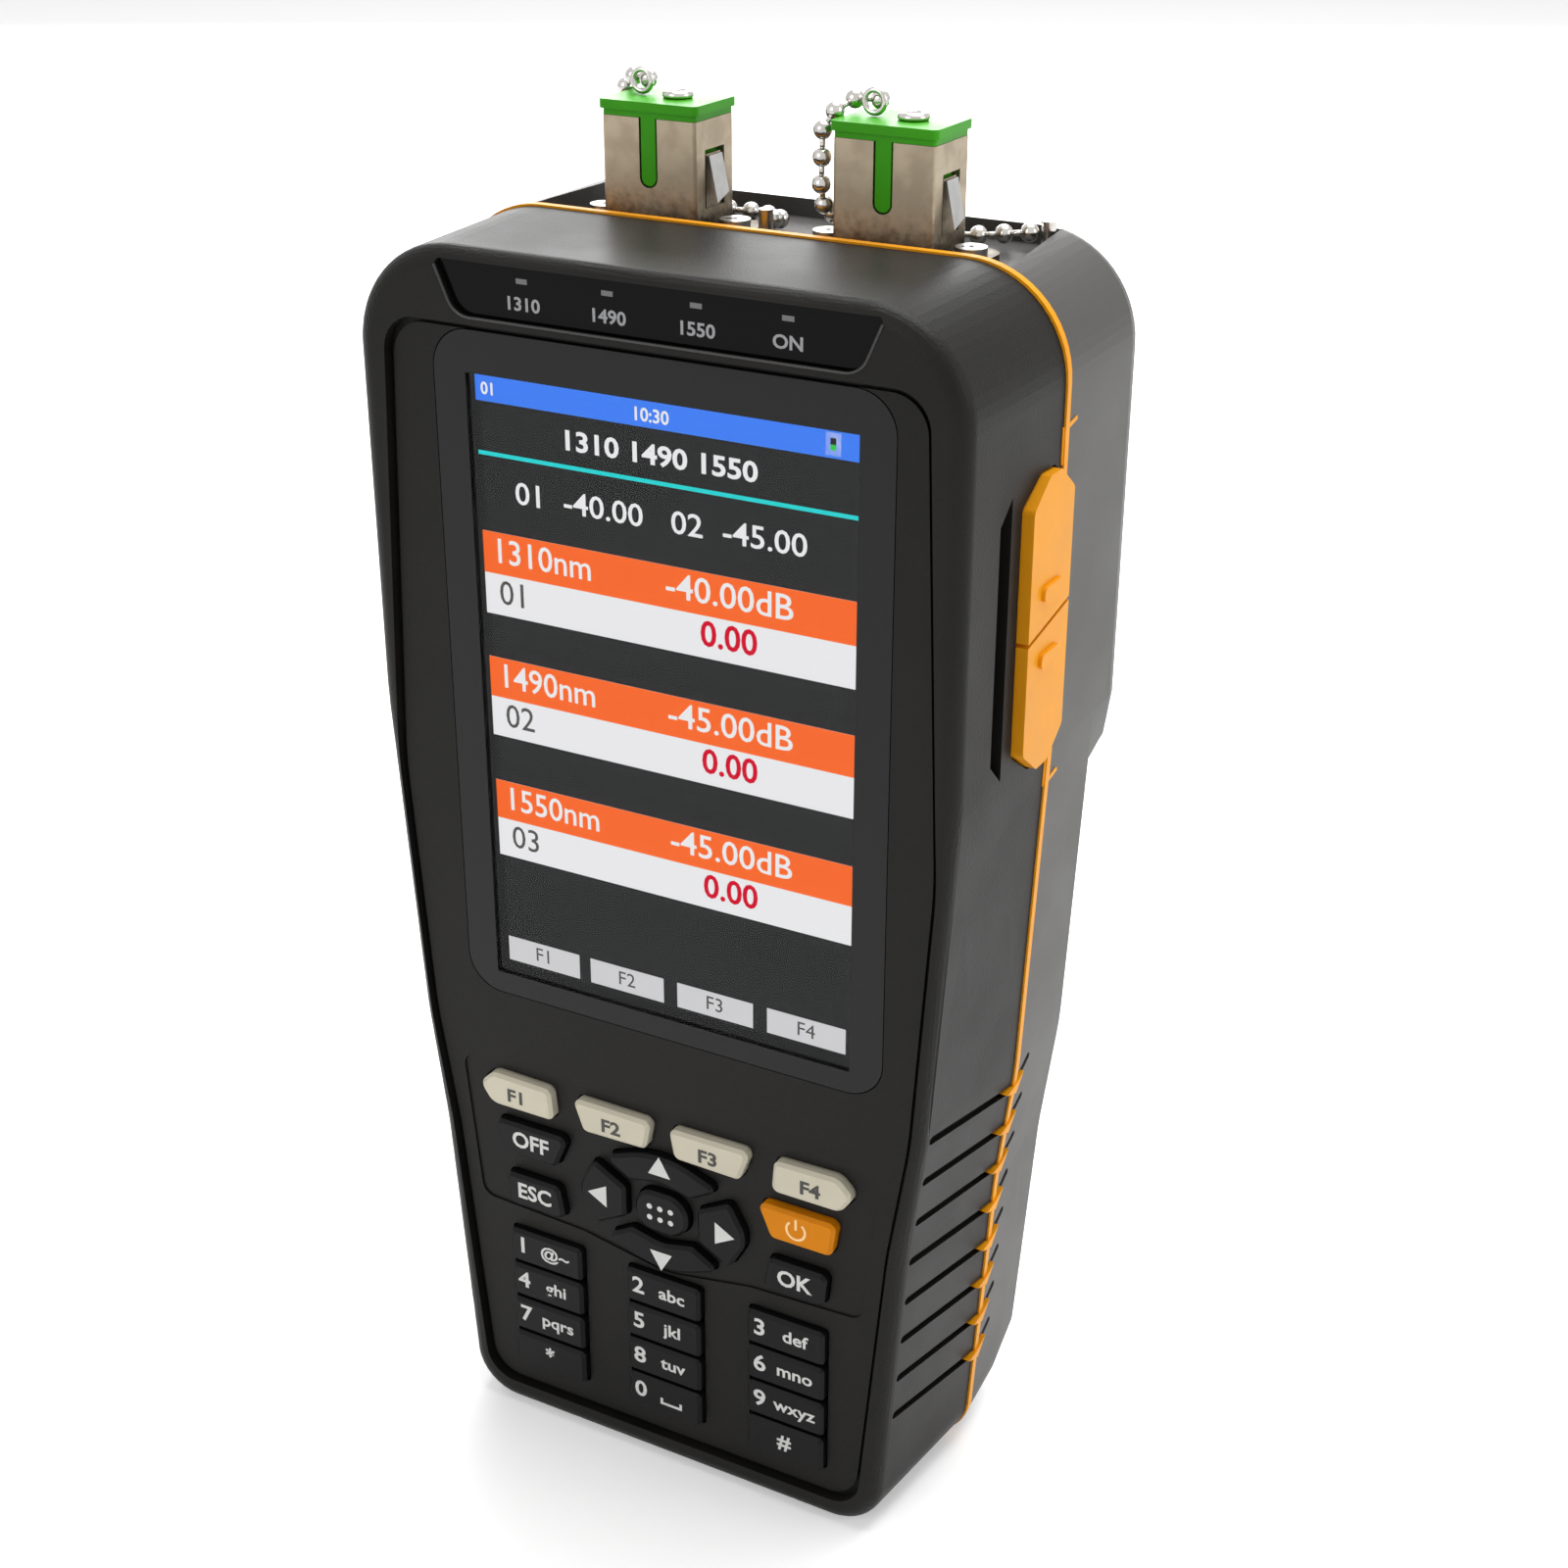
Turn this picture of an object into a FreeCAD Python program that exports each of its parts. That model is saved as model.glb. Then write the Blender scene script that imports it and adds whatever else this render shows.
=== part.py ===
"""Handheld optical power meter with two fibre ports, a colour display and a keypad.

Frame: +Z up, +X to the user's right, front face towards -Y.  The seam between the two
housing halves lies in the plane y = 0, and the meter stands on z = 0.
"""
import FreeCAD, Part
import itertools
import math
import os
import Sketcher
from FreeCAD import Placement, Rotation, Vector

doc = FreeCAD.newDocument("optical_power_meter")

# ---------------------------------------------------------------- driving sizes (mm)
SIZES = {
    # outline of the housing at the seam: half widths and heights of its corners
    "seam_foot_half": 34.4, "seam_waist_half": 37.2, "seam_neck_half": 39.3,
    "seam_head_half": 41.3, "body_top": 165.2,
    "waist_level": 45.0, "neck_level": 62.0, "head_level": 107.0,
    "head_corner_radius": 13.0, "foot_corner_radius": 7.0, "side_blend_radius": 60.0,
    # how far the outline draws in towards the front rim and the back
    "front_foot_draw": 2.8, "front_waist_draw": 2.5, "front_head_draw": 1.5,
    "front_top_draw": 0.3, "back_draw": 1.0,
    # depths from the seam
    "front_depth": 23.6, "head_back_depth": 25.1, "grip_back_depth": 19.7,
    "band_thick": 1.2, "band_deep": 2.6, "band_proud": 0.25,
    "front_edge_radius": 2.4, "back_edge_radius": 5.0, "foot_back_radius": 17.0,
    "step_low": 94.0, "step_high": 105.0,
    "wall": 2.2, "front_wall": 3.2, "back_wall": 2.2,
    # face panel, lens, display and indicator window
    "panel_sink": 0.9, "panel_head_half": 37.9, "panel_top_half": 35.4, "panel_neck_half": 35.6,
    "panel_waist_half": 33.0, "panel_foot_half": 29.3, "panel_top": 156.3, "panel_bottom": 3.6,
    "panel_corner_radius": 4.5, "groove_wide": 0.7, "groove_deep": 0.7,
    "display_offset": 1.0, "lens_wide": 60.6, "lens_top": 155.6, "lens_bottom": 67.3,
    "lens_thick": 1.4, "lens_radius": 5.0, "lens_gap": 0.12,
    "view_wide": 51.5, "view_top": 150.4, "view_bottom": 70.4, "view_rim": 0.5,
    "display_thick": 3.2,
    "led_window_top": 163.6, "led_window_bottom": 157.2, "led_window_top_half": 28.9,
    "led_window_bottom_half": 26.1, "led_window_thick": 1.6, "led_window_sink": 0.7,
    "led_pitch": 11.4, "led_wide": 1.6, "led_high": 0.8, "led_level": 162.0,
    # keypad
    "key_proud": 1.2, "key_gap": 0.22, "key_flange": 0.6,
    "key_flange_thick": 0.7, "key_round": 1.0, "key_edge": 0.45,
    "function_level": 52.4, "function_pitch": 14.7,
    "digit_wide": 11.4, "digit_high": 5.25, "digit_pitch": 5.8, "digit_column": 18.6,
    "digit_top_level": 27.9, "side_key_column": 20.2, "off_level": 45.4, "esc_level": 37.2,
    "pad_level": 41.0, "digit_radius": 0.7, "mat_thick": 1.0,
    "island_deep": 0.25,
    # boards, battery, sockets
    "board_thick": 1.6, "riser_level": 31.0, "socket_level": -5.0, "usb_level": 132.6,
    "usb_wide": 8.0, "usb_high": 2.9, "jack_level": 117.4, "jack_radius": 2.8,
    "battery_thick": 8.0, "battery_wide": 50.0, "battery_high": 60.0, "battery_bottom": 24.0,
    "door_rim": 3.0, "door_thick": 2.2,
    # fibre ports on the head
    "port_pitch": 31.36, "port_wide": 13.0, "port_deep": 9.3, "port_front": 4.2,
    "port_top": 176.0, "port_wall": 0.8, "port_flange_half": 11.9, "port_flange_thick": 0.9,
    "port_screw_half": 9.3, "port_below": 14.0, "keyway_wide": 2.5, "keyway_deep": 8.2,
    "recess_half": 31.2, "recess_floor": 162.3, "recess_back": 22.4, "recess_floor_thick": 2.4,
    "fit_gap": 0.15,
    # dust caps, rings and bead chains
    "cap_over": 0.35, "cap_plate": 1.1, "cap_stand": 1.9, "cap_depth": 11.5, "cap_radius": 0.8,
    "eyelet_radius": 1.9, "eyelet_high": 0.9, "ring_radius": 1.25, "ring_wire": 0.4,
    "bead_radius": 1.15, "bead_pitch": 3.05, "link_radius": 0.35,
    # rubber socket cover on the right side
    "cover_front": -9.8, "cover_back": 1.9, "cover_top": 143.4, "cover_bottom": 107.4,
    "cover_point": 3.2, "cover_thick": 2.6, "cover_slit": 0.5, "cover_slant": 1.1,
    "cover_gap": 0.3,
    "finger_slot_front": -15.2, "finger_slot_back": -12.5, "finger_slot_deep": 2.2,
    # grip slots across the seam
    "slot_count": 8, "slot_pitch": 6.25, "slot_first": 59.2, "slot_wide": 1.2, "slot_deep": 0.8,
    "slot_front": -20.6, "slot_front_rise": 3.4, "slot_back": 4.0, "slot_back_rise": 2.6,
    # clearance between faces that rest on each other, and reach of cuts that pass through
    "rest_gap": 0.04, "cut_over": 1.0, "cut_through": 12.0,
    # small sizes of the window, the band, the cover and the sockets
    "led_window_low_radius": 3.0, "led_window_high_radius": 0.6, "boss_hole_end": 2.0,
    "cover_tip_half": 1.6, "cover_tip_radius": 0.8, "cover_radius": 1.0,
    "cover_seat_rise": 0.8, "finger_slot_slant": 2.8, "finger_slot_inset": 0.8,
    "thumb_offset": 3.0, "thumb_radius": 0.7, "usb_radius": 0.7, "socket_gap": 0.3,
    "socket_cut_inset": 4.0,
    "lozenge_front": -2.8, "lozenge_back": 2.3, "lozenge_high": 1.3, "lozenge_proud": 0.5,
    "thumb_wide": 5.4, "thumb_high": 1.8, "thumb_proud": 0.5,
    "socket_back": 0.5, "socket_wall": 0.35, "socket_mouth": 4.5, "jack_pin_radius": 0.5,
    "riser_high": 15.0, "riser_bottom": 106.0, "riser_top": 145.0,
    # steps of the keypad mat and of the main board
    "mat_low_half": 26.2, "mat_middle_half": 29.8, "mat_high_half": 31.0,
    "mat_bottom": 6.1, "mat_low_top": 18.5, "mat_middle_top": 42.0, "mat_top": 57.5,
    "mat_collar": 1.0, "board_half": 34.0, "board_wide_top": 146.0, "board_narrow_low": 155.0,
    "board_top_half": 24.0, "board_top": 161.0,
    "lcd_wide": 57.0, "lcd_bottom": 65.5, "lcd_top": 155.5,
    # small sizes of the back half
    "step_slant": 0.6, "step_radius": 1.0, "head_wall": 3.2, "cavity_foot": 10.5,
    "cavity_foot_radius": 6.0, "cavity_top_radius": 8.0, "head_cavity_inset": 3.0,
    "head_cavity_radius": 4.0, "recess_slant": 2.0, "recess_radius": 1.5,
    "door_radius": 4.0, "door_screw_inset": 0.2, "battery_gap": 0.5, "plug_gap": 0.3,
    "battery_radius": 2.0, "screw_gap": 0.2,
    # small sizes of the ports, the caps and the chain anchors
    "port_radius": 0.5, "port_mouth_radius": 0.4,
    "port_flange_round": 3.0, "port_mouth": 13.0, "port_rear_mouth": 11.0,
    "sleeve_radius": 1.6, "sleeve_bore": 1.25, "sleeve_high": 9.0,
    "window_wide": 4.6, "window_low": 165.5, "window_high": 7.0,
    "latch_gap": 0.6, "latch_thick": 0.3, "latch_sink": 0.2,
    "receiver_radius": 4.4, "receiver_high": 8.0, "receiver_nose": 3.0,
    "receiver_nose_high": 8.0, "cap_gap": 0.25, "cap_bore_deep": 9.0,
    "eyelet_offset": 1.5, "eyelet_hole": 0.8, "ring_offset": 3.5,
    "anchor_stud": 0.9, "anchor_high": 3.6, "anchor_left_x": -2.0, "anchor_left_y": 8.6,
    "anchor_right_x": 30.4, "anchor_right_y": 18.9,
    # screws
    "door_screw_half": 18.0, "door_screw_radius": 0.7, "door_screw_head": 1.15,
    "door_screw_high": 0.6, "adapter_screw_radius": 1.0, "adapter_screw_head": 1.9,
    "adapter_screw_high": 1.0, "adapter_screw_length": 3.0, "screw_length": 15.0,
    "screw_head_radius": 2.5, "screw_head_high": 1.8, "screw_shank_radius": 1.3,
    "boss_radius": 2.9, "bore_wall": 1.4, "low_screw_half": 29.3, "low_screw_level": 14.0,
    "high_screw_half": 34.3, "high_screw_level": 150.0, "screw_bore_radius": 2.7,
}

sheet = doc.addObject("Spreadsheet::Sheet", "Sizes")
for row, (alias, number) in enumerate(SIZES.items(), start=1):
    sheet.set(f"A{row}", alias)
    sheet.set(f"B{row}", str(number))
    sheet.setAlias(f"B{row}", alias)
doc.recompute()


class Size:
    """A length that keeps both its number and the sheet formula that gives it."""

    def __init__(self, number, formula):
        self.number, self.formula = number, formula

    def _join(self, other, sign, swap=False):
        other = other if isinstance(other, Size) else Size(float(other), f"({float(other)!r})")
        left, right = (other, self) if swap else (self, other)
        number = {"+": left.number + right.number, "-": left.number - right.number,
                  "*": left.number * right.number,
                  "/": left.number / right.number if right.number else 0.0}[sign]
        return Size(number, f"({left.formula} {sign} {right.formula})")

    def __add__(self, other):
        return self._join(other, "+")

    def __radd__(self, other):
        return self._join(other, "+", True)

    def __sub__(self, other):
        return self._join(other, "-")

    def __rsub__(self, other):
        return self._join(other, "-", True)

    def __mul__(self, other):
        return self._join(other, "*")

    def __rmul__(self, other):
        return self._join(other, "*", True)

    def __truediv__(self, other):
        return self._join(other, "/")

    def __neg__(self):
        return self._join(-1.0, "*")

    def __float__(self):
        return float(self.number)


def root(value):
    return Size(math.sqrt(value.number), f"sqrt({value.formula})")


def size(alias):
    return Size(float(sheet.get(alias)), f"Sizes.{alias}")


def bind(target, prop, value):
    """Tie one property to the sheet, or set it when it is a plain number."""
    if isinstance(value, Size):
        target.setExpression(prop, value.formula)
    else:
        target.setExpression(prop, f"{float(value)!r}")


z = {alias: size(alias) for alias in SIZES}


# ---------------------------------------------------------------- sketch and solid helpers
def origin_plane(body, role):
    return next(f for f in body.Origin.OriginFeatures if f.Role == role)


def new_sketch(body, name, role, offset):
    sketch = body.newObject("Sketcher::SketchObject", name)
    sketch.AttachmentSupport = [(origin_plane(body, role), "")]
    sketch.MapMode = "FlatFace"
    sketch.AttachmentOffset = Placement(Vector(0, 0, float(offset)), Rotation())
    bind(sketch, "AttachmentOffset.Base.z", offset)
    return sketch


class Rules:
    """Constraints gathered for one sketch, with the sheet formula behind each of them."""

    def __init__(self, sketch):
        self.sketch, self.constraints, self.formulas = sketch, [], []

    def add(self, kind, *where, value=None):
        if value is None:
            self.constraints.append(Sketcher.Constraint(kind, *where))
            return
        if isinstance(value, Size):
            self.formulas.append((len(self.constraints), value.formula))
        self.constraints.append(Sketcher.Constraint(kind, *where, float(value)))

    def pin(self, geometry, spot, x, y):
        """Fix a point of the sketch at two sheet-driven coordinates."""
        self.add("DistanceX", -1, 1, geometry, spot, value=x)
        self.add("DistanceY", -1, 1, geometry, spot, value=y)

    def apply(self):
        first = self.sketch.ConstraintCount
        self.sketch.addConstraint(self.constraints)
        for number, formula in self.formulas:
            self.sketch.setExpression(f"Constraints[{first + number}]", formula)


def outline(sketch, corners):
    """Closed outline through (x, y, radius) corners; radius 0 keeps a corner sharp."""
    count = len(corners)
    at = [Vector(float(x), float(y), 0) for x, y, _ in corners]
    radii = [float(r) for _, _, r in corners]
    enter, leave, centre, turn = [], [], [], []
    for i in range(count):
        back = (at[i - 1] - at[i]).normalize()
        ahead = (at[(i + 1) % count] - at[i]).normalize()
        half = math.acos(max(-1.0, min(1.0, back.dot(ahead)))) / 2
        reach = radii[i] / math.tan(half)
        enter.append(at[i] + back * reach)
        leave.append(at[i] + ahead * reach)
        middle = back + ahead
        centre.append(at[i] + middle.normalize() * (radii[i] / math.sin(half)))
        turn.append(ahead.cross(back).z > 0)
    first_line = sketch.GeometryCount
    lines = list(range(first_line, first_line + count))
    sketch.addGeometry([Part.LineSegment(leave[i], enter[(i + 1) % count])
                        for i in range(count)], False)
    rules = Rules(sketch)
    for i in range(count):
        before, after = lines[i - 1], lines[i]
        if radii[i] == 0:
            rules.add("Coincident", before, 2, after, 1)
            rules.pin(after, 1, corners[i][0], corners[i][1])
            continue
        circle = Part.Circle(centre[i], Vector(0, 0, 1), radii[i])
        first, last = (enter[i], leave[i]) if turn[i] else (leave[i], enter[i])
        angles = [math.atan2(p.y - centre[i].y, p.x - centre[i].x) for p in (first, last)]
        arc = sketch.addGeometry(Part.ArcOfCircle(circle, *angles), False)
        head, tail = (1, 2) if turn[i] else (2, 1)
        rules.add("Tangent", before, 2, arc, head)
        rules.add("Tangent", arc, tail, after, 1)
        rules.add("Radius", arc, value=corners[i][2])
        corner = sketch.addGeometry(Part.Point(at[i]), True)
        rules.add("PointOnObject", corner, 1, before)
        rules.add("PointOnObject", corner, 1, after)
        rules.pin(corner, 1, corners[i][0], corners[i][1])
    rules.apply()


def mirrored(right):
    """The right-hand corners, listed upwards, followed by their mirror images."""
    return right + [(-x, y, r) for x, y, r in reversed(right)]


def rectangle(x_low, x_high, y_low, y_high, radius=0):
    return [(x_low, y_low, radius), (x_high, y_low, radius),
            (x_high, y_high, radius), (x_low, y_high, radius)]


def pad(body, name, role, offset, loops, length, reverse=False):
    """Extrude closed outlines along the plane's normal, or against it with reverse."""
    sketch = new_sketch(body, f"{name}_outline", role, offset)
    for corners in loops:
        outline(sketch, corners)
    feature = body.newObject("PartDesign::Pad", name)
    feature.Profile = sketch
    bind(feature, "Length", length)
    feature.Reversed = reverse
    return feature


def pocket(body, name, role, offset, loops, length=None, reverse=False):
    """Cut closed outlines against the plane's normal, by a length or through everything."""
    sketch = new_sketch(body, f"{name}_outline", role, offset)
    for corners in loops:
        outline(sketch, corners)
    feature = body.newObject("PartDesign::Pocket", name)
    feature.Profile = sketch
    if length is None:
        feature.Type = 1
    else:
        bind(feature, "Length", length)
    feature.Reversed = reverse
    return feature


def loft(body, name, sections, ruled=True):
    feature = body.newObject("PartDesign::AdditiveLoft", name)
    feature.Profile = sections[0]
    feature.Sections = sections[1:]
    feature.Ruled = ruled
    return feature


def round_edges(body, name, base, radius, test, kind="PartDesign::Fillet"):
    """Fillet or chamfer the edges of a body's last feature that pass a test."""
    doc.recompute()
    picked = [f"Edge{n}" for n, edge in enumerate(base.Shape.Edges, start=1) if test(edge)]
    feature = body.newObject(kind, name)
    feature.Base = (base, picked)
    bind(feature, "Radius" if kind.endswith("Fillet") else "Size", radius)
    doc.recompute()
    return feature


def flat_at(axis, level):
    """Test for edges that lie wholly in the plane axis = level."""
    def test(edge):
        box = edge.BoundBox
        low, high = getattr(box, f"{axis}Min"), getattr(box, f"{axis}Max")
        return abs(low - float(level)) < 1e-3 and abs(high - float(level)) < 1e-3
    return test


def new_body(name):
    body = doc.addObject("PartDesign::Body", name)
    body.Label = name
    return body


# ---------------------------------------------------------------- the two housing halves
def housing_outline(foot_draw, waist_draw, head_draw, top_draw, lift):
    """Corners of the housing's outline, drawn in from the seam by the given amounts."""
    return mirrored([
        (z["seam_foot_half"] - foot_draw, lift, z["foot_corner_radius"]),
        (z["seam_waist_half"] - waist_draw, z["waist_level"], z["side_blend_radius"]),
        (z["seam_neck_half"] - waist_draw, z["neck_level"], z["side_blend_radius"]),
        (z["seam_head_half"] - head_draw, z["head_level"], z["side_blend_radius"]),
        (z["seam_head_half"] - head_draw, z["body_top"] - top_draw, z["head_corner_radius"]),
    ])


def even_outline(draw):
    return housing_outline(draw, draw, draw, draw, draw)


half_band = z["band_thick"] / 2
touch = z["rest_gap"]
DIGIT_NAMES = [f"key_{word}" for word in "1 2 3 4 5 6 7 8 9 star 0 hash".split()]
no_draw = Size(0.0, "0")
front_rim = -z["front_depth"]
panel_face = front_rim + z["panel_sink"]


def panel_outline(inset):
    """Edge of the sunken face panel, which follows the narrowing housing."""
    radius = z["panel_corner_radius"]
    return mirrored([
        (z["panel_foot_half"] - inset, z["panel_bottom"] + inset, radius),
        (z["panel_waist_half"] - inset, z["waist_level"], z["side_blend_radius"]),
        (z["panel_neck_half"] - inset, z["neck_level"], z["side_blend_radius"]),
        (z["panel_head_half"] - inset, z["head_level"] - radius * 2, z["side_blend_radius"]),
        (z["panel_top_half"] - inset, z["panel_top"] - inset, radius),
    ])


def led_window_outline(gap):
    middle = z["display_offset"]
    top, bottom = z["led_window_top_half"] - gap, z["led_window_bottom_half"] - gap
    return [(middle - bottom, z["led_window_bottom"] + gap, z["led_window_low_radius"]),
            (middle + bottom, z["led_window_bottom"] + gap, z["led_window_low_radius"]),
            (middle + top, z["led_window_top"] - gap, z["led_window_high_radius"]),
            (middle - top, z["led_window_top"] - gap, z["led_window_high_radius"])]


def lens_outline(gap):
    half = z["lens_wide"] / 2 - gap
    return rectangle(z["display_offset"] - half, z["display_offset"] + half,
                     z["lens_bottom"] + gap, z["lens_top"] - gap, z["lens_radius"])


def view_outline(gap):
    half = z["view_wide"] / 2 + gap
    return rectangle(z["display_offset"] - half, z["display_offset"] + half,
                     z["view_bottom"] - gap, z["view_top"] + gap, 1.0)


# ---------------------------------------------------------------- key outlines
def placed(points, x, y, flip=False):
    """Move an outline to (x, y); flip mirrors it left to right."""
    if flip:
        points = [(-px, py, r) for px, py, r in reversed(points)]
    return [(x + px, y + py, r) for px, py, r in points]


def grown(points, grow, sideways=1.0, upright=1.0):
    """Push the edges of an anticlockwise outline outwards, in x, in y or in both."""
    flat = [(float(px), float(py)) for px, py, _ in points]
    normals = []
    for i, (px, py) in enumerate(flat):
        qx, qy = flat[(i + 1) % len(flat)]
        length = math.hypot(qx - px, qy - py)
        normals.append(((qy - py) / length, (px - qx) / length))
    result = []
    for i, (px, py, r) in enumerate(points):
        (ax, ay), (bx, by) = normals[i - 1], normals[i]
        scale = 1 + ax * bx + ay * by
        turn = 1.0 if ax * by - ay * bx > 0 else -1.0
        result.append((px + grow * (sideways * (ax + bx) / scale),
                       py + grow * (upright * (ay + by) / scale),
                       r + grow * turn if sideways == upright else r))
    return result


ROUND = z["key_round"]
INNER_FUNCTION = [(-5.2, -2.1, ROUND), (4.4, -2.3, ROUND), (6.1, 2.4, ROUND), (-6.0, 2.3, ROUND)]
OUTER_FUNCTION = [(-5.6, -2.3, ROUND), (4.2, -2.3, 2.0), (6.1, 0.4, 1.4), (3.9, 2.6, 2.0),
                  (-5.2, 2.4, ROUND)]
UPPER_SIDE = [(-3.8, -2.5, ROUND), (4.9, -2.5, ROUND), (5.6, 2.5, ROUND), (-5.9, 2.5, ROUND)]
LOWER_SIDE = [(-5.0, -2.5, ROUND), (3.9, -2.5, ROUND), (4.4, 2.5, ROUND), (-4.1, 2.5, ROUND)]
SECTOR_UP = [(-4.6, 3.8, 0.8), (0, 4.9, 5.0), (4.6, 3.8, 0.8), (8.9, 6.3, 0.8), (0, 9.7, 13.0),
             (-8.9, 6.3, 0.8)]
SECTOR_DOWN = [(-x, -y, r) for x, y, r in SECTOR_UP]
SECTOR_RIGHT = [(5.5, -2.3, 0.8), (10.3, -5.0, 0.8), (13.1, 0, 4.0), (10.3, 5.0, 0.8),
                (5.5, 2.3, 0.8)]
SECTOR_LEFT = [(-x, -y, r) for x, y, r in SECTOR_RIGHT]
HUB = [(-4.0, -3.1, 2.9), (4.0, -3.1, 2.9), (4.0, 3.1, 2.9), (-4.0, 3.1, 2.9)]


def key_table():
    """Every key: name, outline points, middle x, middle z, mirrored or not."""
    keys = []
    pitch = z["function_pitch"]
    for number, steps in ((1, -1.5), (2, -0.5), (3, 0.5), (4, 1.5)):
        shape = OUTER_FUNCTION if number in (1, 4) else INNER_FUNCTION
        keys.append((f"key_f{number}", shape, pitch * steps, z["function_level"], number < 3))
    side = z["side_key_column"]
    keys.append(("key_off", UPPER_SIDE, -side, z["off_level"], True))
    keys.append(("key_power", UPPER_SIDE, side, z["off_level"], False))
    keys.append(("key_escape", LOWER_SIDE, -side, z["esc_level"], True))
    keys.append(("key_ok", LOWER_SIDE, side, z["esc_level"], False))
    middle = no_draw
    for name, shape in (("up", SECTOR_UP), ("down", SECTOR_DOWN), ("left", SECTOR_LEFT),
                        ("right", SECTOR_RIGHT), ("menu", HUB)):
        keys.append((f"key_{name}", shape, middle, z["pad_level"], False))
    wide, high = float(z["digit_wide"]) / 2, float(z["digit_high"]) / 2
    shape = rectangle(-wide, wide, -high, high, z["digit_radius"])
    names = ["1", "2", "3", "4", "5", "6", "7", "8", "9", "star", "0", "hash"]
    for place, name in enumerate(names):
        line, column = divmod(place, 3)
        keys.append((f"key_{name}", shape, z["digit_column"] * float(column - 1),
                     z["digit_top_level"] - z["digit_pitch"] * float(line), False))
    return keys


KEYS = key_table()
OTHERS = [key for key in KEYS if key[0] not in DIGIT_NAMES]


def key_openings():
    """One opening for each key, and one long opening for each column of digits."""
    gap = z["key_gap"]
    loops = []
    for name, shape, x, y, flip in OTHERS:
        loops.append(placed(grown(shape, gap), x, y, flip))
    half_wide = z["digit_wide"] / 2 + gap
    top = z["digit_top_level"] + z["digit_high"] / 2 + gap
    bottom = z["digit_top_level"] - z["digit_pitch"] * 3.0 - z["digit_high"] / 2 - gap
    for side in (-1.0, 0.0, 1.0):
        middle = z["digit_column"] * side
        loops.append(rectangle(middle - half_wide, middle + half_wide, bottom, top,
                               z["digit_radius"]))
    return loops


# Edge of the shallow island that carries the upper keys; it bows round the arrow keys.
KEY_ISLAND = [(-29.2, 33.9, 2.0), (-12.8, 33.2, 3.0), (0, 30.9, 14.0), (12.8, 33.2, 3.0),
              (29.2, 33.9, 2.0), (31.3, 56.3, 2.0), (-31.3, 56.3, 2.0)]


# ---------------------------------------------------------------- screws and grip slots
SCREW_PLACES = [(side * at, level) for side in (-1.0, 1.0) for at, level in (
    (z["low_screw_half"], z["low_screw_level"]), (z["high_screw_half"], z["high_screw_level"]))]


def disc(body, name, role, offset, spots, radius, length, cut=False, reverse=False):
    """Pad or pocket a set of circles."""
    sketch = new_sketch(body, f"{name}_outline", role, offset)
    for x, y in spots:
        circle = sketch.addGeometry(Part.Circle(Vector(float(x), float(y), 0), Vector(0, 0, 1),
                                                float(radius)))
        rules = Rules(sketch)
        rules.add("Radius", circle, value=radius)
        rules.pin(circle, 3, x, y)
        rules.apply()
    kind = "PartDesign::Pocket" if cut else "PartDesign::Pad"
    feature = body.newObject(kind, name)
    feature.Profile = sketch
    if length is None:
        feature.Type = 1
    else:
        bind(feature, "Length", length)
    feature.Reversed = reverse
    return feature


def side_half(level, depth):
    """Half width of the housing's side at a height and at a depth from the seam."""
    n = {alias: float(value) for alias, value in z.items()}
    levels = [0.0, n["waist_level"], n["neck_level"], n["head_level"], n["body_top"]]
    seam = [n["seam_foot_half"], n["seam_waist_half"], n["seam_neck_half"],
            n["seam_head_half"], n["seam_head_half"]]
    if depth < 0:
        draw = [n["front_foot_draw"], n["front_waist_draw"], n["front_waist_draw"],
                n["front_head_draw"], n["front_head_draw"]]
        share = -depth / n["front_depth"]
    else:
        draw = [n["back_draw"]] * 5
        share = depth / n["head_back_depth"]
    for low in range(4):
        if level <= levels[low + 1]:
            t = (level - levels[low]) / (levels[low + 1] - levels[low])
            at_seam = seam[low] + (seam[low + 1] - seam[low]) * t
            drawn = draw[low] + (draw[low + 1] - draw[low]) * t
            return at_seam - drawn * share
    return seam[-1] - draw[-1] * share


def capsule(start, end, outward, wide, deep, proud):
    """Round-ended bar from start to end that reaches deep below and proud above a face."""
    along = (end - start).normalize()
    up = (outward - along * outward.dot(along)).normalize()
    across = up.cross(along)
    length = (end - start).Length
    bar = Part.makeBox(length, wide, deep + proud, Vector(0, -wide / 2, -deep))
    for x in (0, length):
        bar = bar.fuse(Part.makeCylinder(wide / 2, deep + proud, Vector(x, 0, -deep)))
    frame = FreeCAD.Matrix(along.x, across.x, up.x, start.x, along.y, across.y, up.y, start.y,
                           along.z, across.z, up.z, start.z, 0, 0, 0, 1)
    return bar.transformed(frame)


def slot_bars(front):
    """The grip slots of one housing half, both sides, as bars to cut away."""
    n = {alias: float(value) for alias, value in z.items()}
    bars = []
    for step in range(int(n["slot_count"])):
        level = n["slot_first"] - n["slot_pitch"] * step
        if front:
            far, rise = n["slot_front"], n["slot_front_rise"]
        else:
            far, rise = n["slot_back"], n["slot_back_rise"]
        for side in (-1, 1):
            start = Vector(side * side_half(level, 0.0), 0, level)
            end = Vector(side * side_half(level + rise, far), far, level + rise)
            bars.append(capsule(start, end, Vector(side, 0, 0), n["slot_wide"], n["slot_deep"],
                                n["slot_wide"]))
    return bars


def cut_with_bars(body, name, bars):
    """Cut loose bars out of a body and give the result the body's name."""
    body.Label = f"{name}_blank"
    tool = doc.addObject("Part::Feature", f"{name}_bars")
    tool.Shape = Part.makeCompound(bars)
    result = doc.addObject("Part::Cut", name)
    result.Label = name
    result.Base = body
    result.Tool = tool
    return result


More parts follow.
